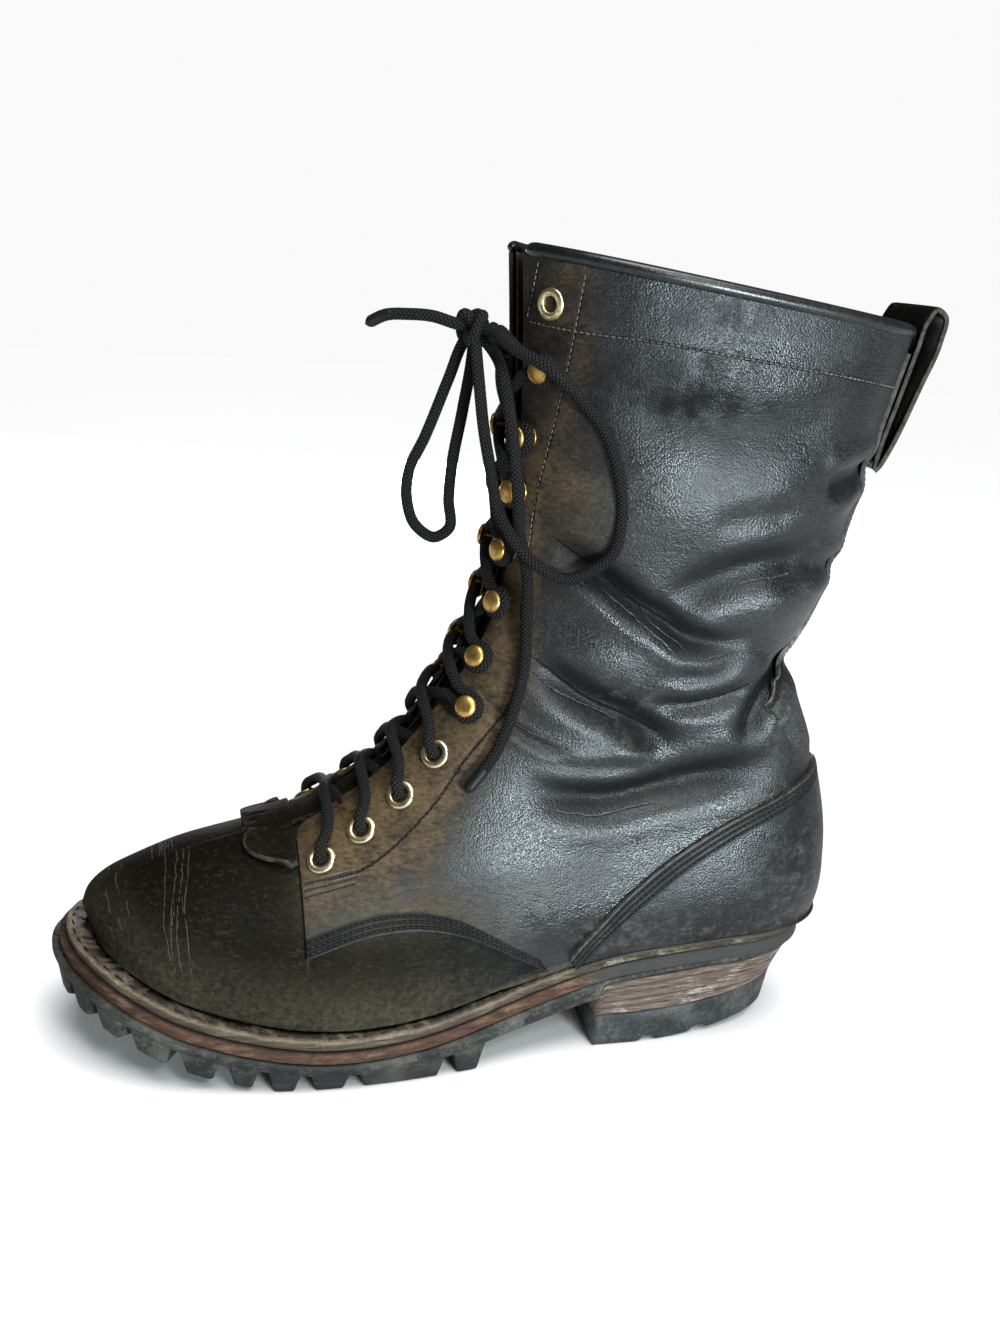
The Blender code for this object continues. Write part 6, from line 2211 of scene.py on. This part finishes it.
@dataclass
class Fittings:
    """Brass eyelets and speed hooks on the facings."""

    finishes: Finishes
    eyelets: Line = ((-66, 86), (-51, 97), (-36, 110), (-23, 126), (9, 296))
    hooks: Line = ((-10, 144), (-5, 162), (2, 184), (4, 204), (6, 227), (7, 248), (10, 273))
    eyelet_line: Line = (
        (2.9, -3.6), (3.4, -4.2), (4.4, -4.2), (4.7, -3.9), (4.4, -3.7), (3.5, -3.6), (3.4, -2.0), (3.4, 0.3),
        (5.5, 0.35), (5.8, 0.55), (5.75, 0.9), (5.3, 1.35), (4.5, 1.6), (3.7, 1.55), (3.1, 1.2), (2.9, 0.6),
    )
    hook_line: Line = (
        (0.0, 0.3), (4.6, 0.3), (4.75, 0.6), (4.6, 0.95), (3.4, 1.25), (2.2, 1.4), (1.9, 1.8), (1.85, 3.2),
        (1.9, 5.0), (2.2, 5.4), (3.8, 5.5), (4.3, 5.8), (4.3, 6.4), (3.8, 7.0), (2.6, 7.5), (1.3, 7.75),
        (0.0, 7.8),
    )
    turns: int = 32

    @staticmethod
    def station(x: float, z: float, side: Side, lift: float = FACE) -> tuple[Array, Array, Array, Array]:
        """Place and directions of a fitting on the facing.

        Args:
            x: its place along the boot.
            z: its height.
            side: the half of the boot.
            lift: height of the leather's face over the last.

        Returns:
            Its place, the way out of the leather, the way to the throat and the way up the facing.
        """
        row, angle = LAST.locate(x, z, side)
        out = LAST.normal(row, angle, side)
        place = LAST.surface(row, angle, side) + out * lift
        throat = LAST.surface(row, angle + 0.02, side) - LAST.surface(row, angle, side)
        throat -= out * np.dot(throat, out)
        throat /= np.linalg.norm(throat)
        up = LAST.surface(row + 0.05, angle, side) - LAST.surface(row, angle, side)
        up -= out * np.dot(up, out) + throat * np.dot(up, throat)
        return place, out, throat, up / np.linalg.norm(up)

    def turned(self, name: str, line: Line) -> Thing:
        """A fitting spun about its own axis from a circle primitive bent to its profile.

        Args:
            name: the pattern's name.
            line: radius and height of the profile.

        Returns:
            The pattern about its own origin, in metres.
        """
        thing = Bench.start(name, bpy.ops.mesh.primitive_circle_add, vertices=len(line))
        for corner, (radius, height) in zip(thing.data.vertices, line):
            corner.co = (radius * MM, 0.0, height * MM)
        centre, axis = (0.0, 0.0, 0.0), (0.0, 0.0, 1.0)
        turn = {"steps": self.turns, "angle": 2.0 * math.pi, "center": centre, "axis": axis}
        Bench.edit(lambda: bpy.ops.mesh.spin(**turn))
        Bench.clean(thing, True)
        return thing

    def build(self) -> None:
        """Set the eyelets and hooks on both facings."""
        kinds = (("eyelet", self.eyelet_line, self.eyelets), ("hook", self.hook_line, self.hooks))
        for word, line, places in kinds:
            pattern = self.turned(word, line)
            for side in Side:
                for number, (x, z) in enumerate(places, 1):
                    place, out, throat, up = self.station(x, z, side)
                    copy = bpy.data.objects.new(f"{word}_brass_{side.word}_{number}", pattern.data.copy())
                    bpy.context.scene.collection.objects.link(copy)
                    turn = Matrix((np.cross(up, out), up, out)).transposed().to_4x4()
                    turn.translation = Vector(to_frame(place))
                    copy.data.transform(turn)
                    finish = self.finishes.brass if word == "eyelet" else self.finishes.hook_brass
                    Bench.dress(copy, finish, Slot.BRASS, f"{word}_{side.word}_{number}")
            bpy.data.objects.remove(pattern, do_unlink=True)


@dataclass
class Lacing:
    """The lace through eyelets and hooks, its knot, and the loops and ends of the bow."""

    finishes: Finishes
    fittings: Fittings
    radius: float = 2.2
    step: float = 0.9
    wrap: float = 4.25
    wrap_height: float = 3.4
    over: float = 4.6
    under: float = 1.2
    knot: Point = (-15.0, -4.0, 285.0)
    knot_size: Point = (5.0, 5.6, 4.6)
    knot_entry: Point = (7.3, 3.4, 1.0)
    tip_length: float = 14.0
    routes: dict[str, tuple] = field(default_factory=lambda: {
        "lace_loop_lateral": (
            (-11, -13, 285), (-5, -27, 280), (6, -40, 274), (17, -39, 265), (27, -40, 254), (33, -42, 239),
            (36, -41, 223), (34, -39, 209), (27, -36, 202), (19, -35, 199), (9, -36, 203), (0, -31, 211),
            (-6, -24, 222), (-9, -20, 236), (-12, -18, 250), (-14, -15, 265), (-15, -11, 276),
        ),
        "lace_end_lateral": (
            (-9, -9, 278), (-7, -23, 269), (-5, -28, 257), (-3, -30, 245), (-1, -31, 231), (2, -27, 214),
            (6, -27, 198), (7, -28, 181), (7, -30, 164), (3, -33, 146), (-3, -35, 131), (-14, -37, 116),
        ),
        "lace_loop_medial": (
            (-18, -1, 279.6), (-22, 3, 266), (-29, 8, 243), (-34, 11, 229), (-34, 12, 218), (-30, 12, 208),
            (-23, 10, 204), (-18, 7, 208), (-19, 5, 220), (-19, 2, 235), (-17, -1, 254), (-15, -4, 278.6),
        ),
        "lace_end_medial": ((-21.5, -3, 286), (-30, 0, 288), (-38, 4, 288), (-46, 8, 287), (-53, 11, 283)),
    })

    def through_eyelet(self, x: float, z: float, side: Side) -> list[Array]:
        """Points where the lace comes up through an eyelet and turns to the throat.

        Args:
            x: the fitting's place along the boot.
            z: its height.
            side: the half of the boot.

        Returns:
            The points.
        """
        place, out, throat, up = Fittings.station(x, z, side)
        return [
            place - out * 5.0 + throat * 2.5, place - out * 1.5, place + out * 1.6 + throat * 0.4,
            place + out * 3.9 + throat * 3.4 + up * 1.0, place + out * 3.4 + throat * 8.0 + up * 3.4,
        ]

    def round_hook(self, x: float, z: float, side: Side) -> list[Array]:
        """Points where the lace goes round a hook's stem, on the far side from the throat.

        Args:
            x: the fitting's place along the boot.
            z: its height.
            side: the half of the boot.

        Returns:
            The points.
        """
        place, out, throat, up = Fittings.station(x, z, side)
        points = []
        for degrees in (-50, -85, -120, -150, 180, 150, 120, 85, 50):
            turn = math.radians(degrees)
            around = throat * math.cos(turn) + up * math.sin(turn)
            points.append(place + out * self.wrap_height + around * self.wrap)
        return points

    def zigzag(self, first: Side) -> Array:
        """One strand of the lace from its lowest eyelet to the knot.

        Args:
            first: the side of its lowest eyelet.

        Returns:
            Its path in millimetres.
        """
        stations = [(*place, True) for place in self.fittings.eyelets[:-1]]
        stations += [(*place, False) for place in self.fittings.hooks]
        points: list[Array] = []
        side = first
        for number, (x, z, eyelet) in enumerate(stations):
            if number:
                before = stations[number - 1]
                row = 0.5 * (LAST.locate(x, z, side)[0] + LAST.locate(before[0], before[1], side.other)[0])
                on_top = (first == Side.LATERAL) == bool(number % 2)
                over = self.over if on_top else self.under
                points.append(LAST.lifted(row, QUARTER_TURN - 1e-3, Side.LATERAL, over))
                if eyelet:
                    place, out, throat, up = Fittings.station(x, z, side)
                    points.append(place - out * 4.4 + throat * 7.0 - up * 2.5)
            points += self.through_eyelet(x, z, side) if eyelet else self.round_hook(x, z, side)
            side = side.other
        knot = np.array(self.knot)
        points.append(knot + (self.knot_entry[0], -side * self.knot_entry[1], self.knot_entry[2]))
        return smooth_route(points, self.step)

    def build_bow(self) -> None:
        """The knot and the four free lengths that hang from it, each a cord."""
        turn = np.linspace(0.0, 2.0 * math.pi, 160)
        size = np.array(self.knot_size) / (3.0, 3.0, 1.0)
        double = 2.0 * turn
        wide = np.sin(turn) + 2.0 * np.sin(double)
        tall = np.cos(turn) - 2.0 * np.cos(double)
        curve = np.stack([wide, tall, -np.sin(3.0 * turn)], axis=1)
        knot = Bench.tube("lace_knot_turns", np.array(self.knot) + curve * size, self.radius, 12)
        Bench.dress(knot, self.finishes.braid, Slot.LACE, "lace_knot")
        for name, route in self.routes.items():
            core = np.array(self.knot) + (np.array(route[0]) - self.knot) * 0.2
            back = [np.array(self.knot) + (np.array(route[-1]) - self.knot) * 0.2] if "loop" in name else []
            path = smooth_route([core, *route, *back], self.step)
            cord = Bench.tube(f"{name}_braid", path, self.radius)
            Bench.dress(cord, self.finishes.braid, Slot.LACE, name)
            loop = "loop" in name
            places = to_frame(path)
            tips = [] if loop else [self.build_tip(f"{name}_tip", path)]
            float(lengths_along(places)[-1])

    def build_tip(self, name: str, path: Array) -> Thing:
        """The sleeve pressed round the end of a lace.

        Args:
            name: the piece's name.
            path: the lace's path.

        Returns:
            The sleeve.
        """
        run = lengths_along(path)
        covered = path[run > run[-1] - self.tip_length]
        tip = Bench.tube(name, covered, self.radius + 0.06, 16)
        return Bench.dress(tip, self.finishes.tip, Slot.LACE)

    def build(self) -> None:
        """Run the lace over the throat and tie it."""
        strands = [Bench.tube(f"lace_{side.word}", self.zigzag(side), self.radius) for side in Side]
        lace = Bench.join("lace_zigzag", strands, True)
        Bench.dress(lace, self.finishes.braid, Slot.LACE, "lace_crossings")
        self.build_bow()


@dataclass
class Stitching:
    """Rows of thread on the panels, and the stitches of the welt."""

    finishes: Finishes
    upper: Upper
    sole: Sole
    pitch: float = 2.3
    half_length: float = 0.98
    thick: float = 0.34
    sunk: float = 0.02
    rows: tuple[float, ...] = (1.8, 4.1, 6.5)
    stay_row: float = 2.2
    tack: Line = ((-73.0, 74.5), (-54.0, 80.5))
    tack_rows: int = 6
    tack_step: float = 0.95
    tack_pitch: float = 1.5
    welt_pitch: float = 6.6
    welt_inset: float = 2.6
    welt_size: Point = (2.3, 0.55, 0.45)

    @staticmethod
    def pattern() -> Thing:
        """One stitch: a small ball primitive turned so that its poles lie along X.

        Returns:
            The stitch.
        """
        thing = Bench.start("stitch", bpy.ops.mesh.primitive_uv_sphere_add, segments=6, ring_count=5)
        turn = {"value": QUARTER_TURN, "orient_axis": "Y", "center_override": (0.0, 0.0, 0.0)}
        Bench.edit(lambda: bpy.ops.transform.rotate(**turn))
        return thing

    @staticmethod
    def stand(place: Array, way: Array, out: Array, size: Sequence[float]) -> Matrix:
        """Place, turn and size of a stitch that lies along a way on a surface.

        Args:
            place: its middle in millimetres.
            way: the way it lies.
            out: the way out of the surface.
            size: its half length, half width and half height in millimetres.

        Returns:
            The stitch's matrix.
        """
        way = way / np.linalg.norm(way)
        side = np.cross(out, way)
        side /= np.linalg.norm(side)
        turned = Matrix((way * size[0] * MM, side * size[1] * MM, np.cross(way, side) * size[2] * MM))
        matrix = turned.transposed().to_4x4()
        matrix.translation = Vector(to_frame(place))
        return matrix

    def frames(self, line: Array, outs: Array, pitch: float, size: Sequence[float]) -> list[Matrix]:
        """Places of the stitches along a line on the leather.

        Args:
            line: its points.
            outs: the way out of the leather at them.
            pitch: the step from stitch to stitch.
            size: the stitch's half sizes.

        Returns:
            One matrix for each stitch.
        """
        run = lengths_along(line)
        places = np.arange(0.5 * pitch, run[-1], pitch)
        points = np.stack([np.interp(places, run, line[:, i]) for i in range(3)], axis=1)
        ways = np.stack([np.interp(places, run, outs[:, i]) for i in range(3)], axis=1)
        return [self.stand(p, w, o, size) for p, w, o in zip(points, np.gradient(points, axis=0), ways)]

    def sewn(self, line: Line, side: Side, lift: float) -> tuple[Array, Array]:
        """A row drawn from the side, laid on the folded leather.

        Args:
            line: the row as x and z.
            side: the half of the boot.
            lift: height of the leather's face over the last.

        Returns:
            Its points and the way out of the leather at each.
        """
        flat = smooth_route(line, 1.0)
        row, angle = LAST.locate(flat[:, 0], flat[:, 1], side)
        base, outs = LAST.surface(row, angle, side), LAST.normal(row, angle, side)
        return base + outs * (lift + WEAR.worn(base, side)[0])[:, None], outs

    def build(self) -> None:
        """Sew the panels and the welt."""
        upper, sole = self.upper, self.sole
        size = (self.half_length, self.thick, 0.8 * self.thick)
        dark, pale = [], []
        for side in Side:
            names = ("quarter", "counter", "backstay")
            quarter, counter, stay = (upper.panels[f"{name}_{side.word}"] for name in names)
            rows = LAST.even_rows(upper.quarter_row, LAST.collar_row + upper.collar_tuck, upper.spacing)
            lapped = int(np.sum(rows < upper.lap_end)) - 1
            for row in self.rows:
                line, outs = quarter.beside(Edge.LOW, row)
                dark += self.frames(line[1:lapped], outs[1:lapped], self.pitch, size)
                dark += self.frames(*counter.beside(Edge.HIGH, row), self.pitch, size)
            dark += self.frames(*stay.beside(Edge.HIGH, self.stay_row), self.pitch, size)
            for number in range(self.tack_rows):
                line = tuple((x, z + self.tack_step * number) for x, z in self.tack)
                rows = self.frames(*self.sewn(line, side, upper.step + self.sunk), self.tack_pitch, size)
                (pale if number % 2 else dark).extend(rows)
            for number, line in enumerate(WEAR.sewn_lines):
                rows = self.frames(*self.sewn(line, side, upper.step + self.sunk), self.pitch, size)
                (pale if number else dark).extend(rows)
        rows = (
            ("panel_stitches", dark, self.finishes.thread),
            ("top_stitches", pale, self.finishes.grey_thread),
        )
        for name, frames, finish in rows:
            Bench.dress(Bench.copies(name, self.pattern(), frames), finish, Slot.BLACK)
        x = LAST.toe_x + (sole.join_x - 4.0 - LAST.toe_x) * np.linspace(0.0, 1.0, 900) ** 2
        frames = []
        for side in Side:
            flat = sole.edge(x, side, 1, np.full_like(x, self.welt_inset))
            line = np.column_stack([flat, LAST.feather(flat[:, 0]) - sole.gap + 0.2])
            upward = np.broadcast_to((0.0, 0.0, 1.0), line.shape)
            frames += self.frames(line, upward, self.welt_pitch, self.welt_size)
        thread = Bench.copies("welt_stitches", self.pattern(), frames)
        Bench.dress(thread, self.finishes.thread, Slot.WELT)


@dataclass(frozen=True)
class Lamp:
    """A soft light: a rectangle of a size in metres, or, without a size, a sun of a width in degrees."""

    name: str
    place: Point
    power: float
    colour: Colour = (0.95, 0.98, 1.0)
    size: tuple[float, ...] = ()
    spread: float = 0.0
    aim: Point = (0.0, 0.0, 0.15)

    def build(self) -> None:
        """Stand the lamp in its place and point it at its aim."""
        data = bpy.data.lights.new(self.name, "AREA" if self.size else "SUN")
        data.color = self.colour
        data.energy = self.power
        if self.size:
            data.shape = "RECTANGLE"
            data.size, data.size_y = self.size
        else:
            data.angle = math.radians(self.spread)
        lamp = bpy.data.objects.new(self.name, data)
        lamp.location = self.place
        lamp.rotation_euler = (Vector(self.aim) - Vector(self.place)).to_track_quat("-Z", "Y").to_euler()
        bpy.context.scene.collection.objects.link(lamp)


@dataclass
class Studio:
    """Pale floor, soft lights and the camera."""

    finishes: Finishes
    eye: Point = (-120.625, -516.275, 315.555)
    target: Point = (4.825, 0.0, 154.4)
    roll: float = 4.18
    focal: float = 1397.0
    picture: tuple[int, int] = (1000, 1333)
    sensor: float = 36.0
    floor_size: float = 6.0
    daylight: float = 0.08
    backdrop: float = 0.95
    lamps: tuple[Lamp, ...] = (
        Lamp("skylight", (0.1, -0.25, 1.0), 3.0, (1.0, 1.0, 1.0), spread=40.0, aim=(0.0, 0.0, 0.0)),
        Lamp("low_window", (0.46, -1.45, 0.12), 38.0, (0.80, 0.94, 1.0), (0.3, 0.24)),
        Lamp("high_window", (0.25, -1.2, 1.1), 7.5, size=(0.35, 0.35)),
        Lamp("far_window", (0.3, 1.5, 0.1), 14.0, size=(0.9, 0.3)),
    )

    def build_camera(self) -> None:
        """The camera at the photograph's viewing angle."""
        eye, target = np.array(self.eye), np.array(self.target)
        ahead = (target - eye) / np.linalg.norm(target - eye)
        right = np.cross(ahead, (0.0, 0.0, 1.0))
        right /= np.linalg.norm(right)
        up = np.cross(right, ahead)
        turn = math.radians(self.roll)
        across = right * math.cos(turn) + up * math.sin(turn)
        upright = -right * math.sin(turn) + up * math.cos(turn)
        data = bpy.data.cameras.new("camera")
        data.sensor_width = self.sensor
        data.lens = self.focal / max(self.picture) * self.sensor
        data.clip_start = 0.01
        camera = bpy.data.objects.new("camera", data)
        place = Matrix((across, upright, -ahead)).transposed().to_4x4()
        place.translation = Vector(to_frame(eye))
        camera.matrix_world = place
        bpy.context.scene.collection.objects.link(camera)
        bpy.context.scene.camera = camera

    def build(self) -> None:
        """Make the floor and the lights."""
        cuts = {"x_subdivisions": 4, "y_subdivisions": 4}
        floor = Bench.start("pale_floor", bpy.ops.mesh.primitive_grid_add, size=self.floor_size, **cuts)
        floor.data.materials.append(self.finishes.floor)
        scene = bpy.context.scene
        scene.view_settings.view_transform = "Standard"
        world = bpy.data.worlds.new("studio")
        scene.world = world
        world.use_nodes = True
        nodes, links = world.node_tree.nodes, world.node_tree.links
        seen = nodes.new("ShaderNodeMapRange")
        seen.inputs["To Min"].default_value = self.daylight
        seen.inputs["To Max"].default_value = self.backdrop
        links.new(nodes.new("ShaderNodeLightPath").outputs["Is Camera Ray"], seen.inputs["Value"])
        links.new(seen.outputs[0], nodes["Background"].inputs["Strength"])
        nodes["Background"].inputs["Color"].default_value = (1.0, 1.0, 1.0, 1.0)
        for lamp in self.lamps:
            lamp.build()


def main() -> None:
    """Build the studio, then the boot from the lace to the stitches."""
    logging.basicConfig(level=logging.INFO, format="%(name)s %(message)s")
    finishes = Finishes()
    studio = Studio(finishes)
    studio.build_camera()
    fittings = Fittings(finishes)
    Lacing(finishes, fittings).build()
    sole = Sole(finishes)
    sole.build()
    upper = Upper(finishes)
    upper.build()
    fittings.build()
    Stitching(finishes, upper, sole).build()
    studio.build()


if __name__ == "__main__":
    main()
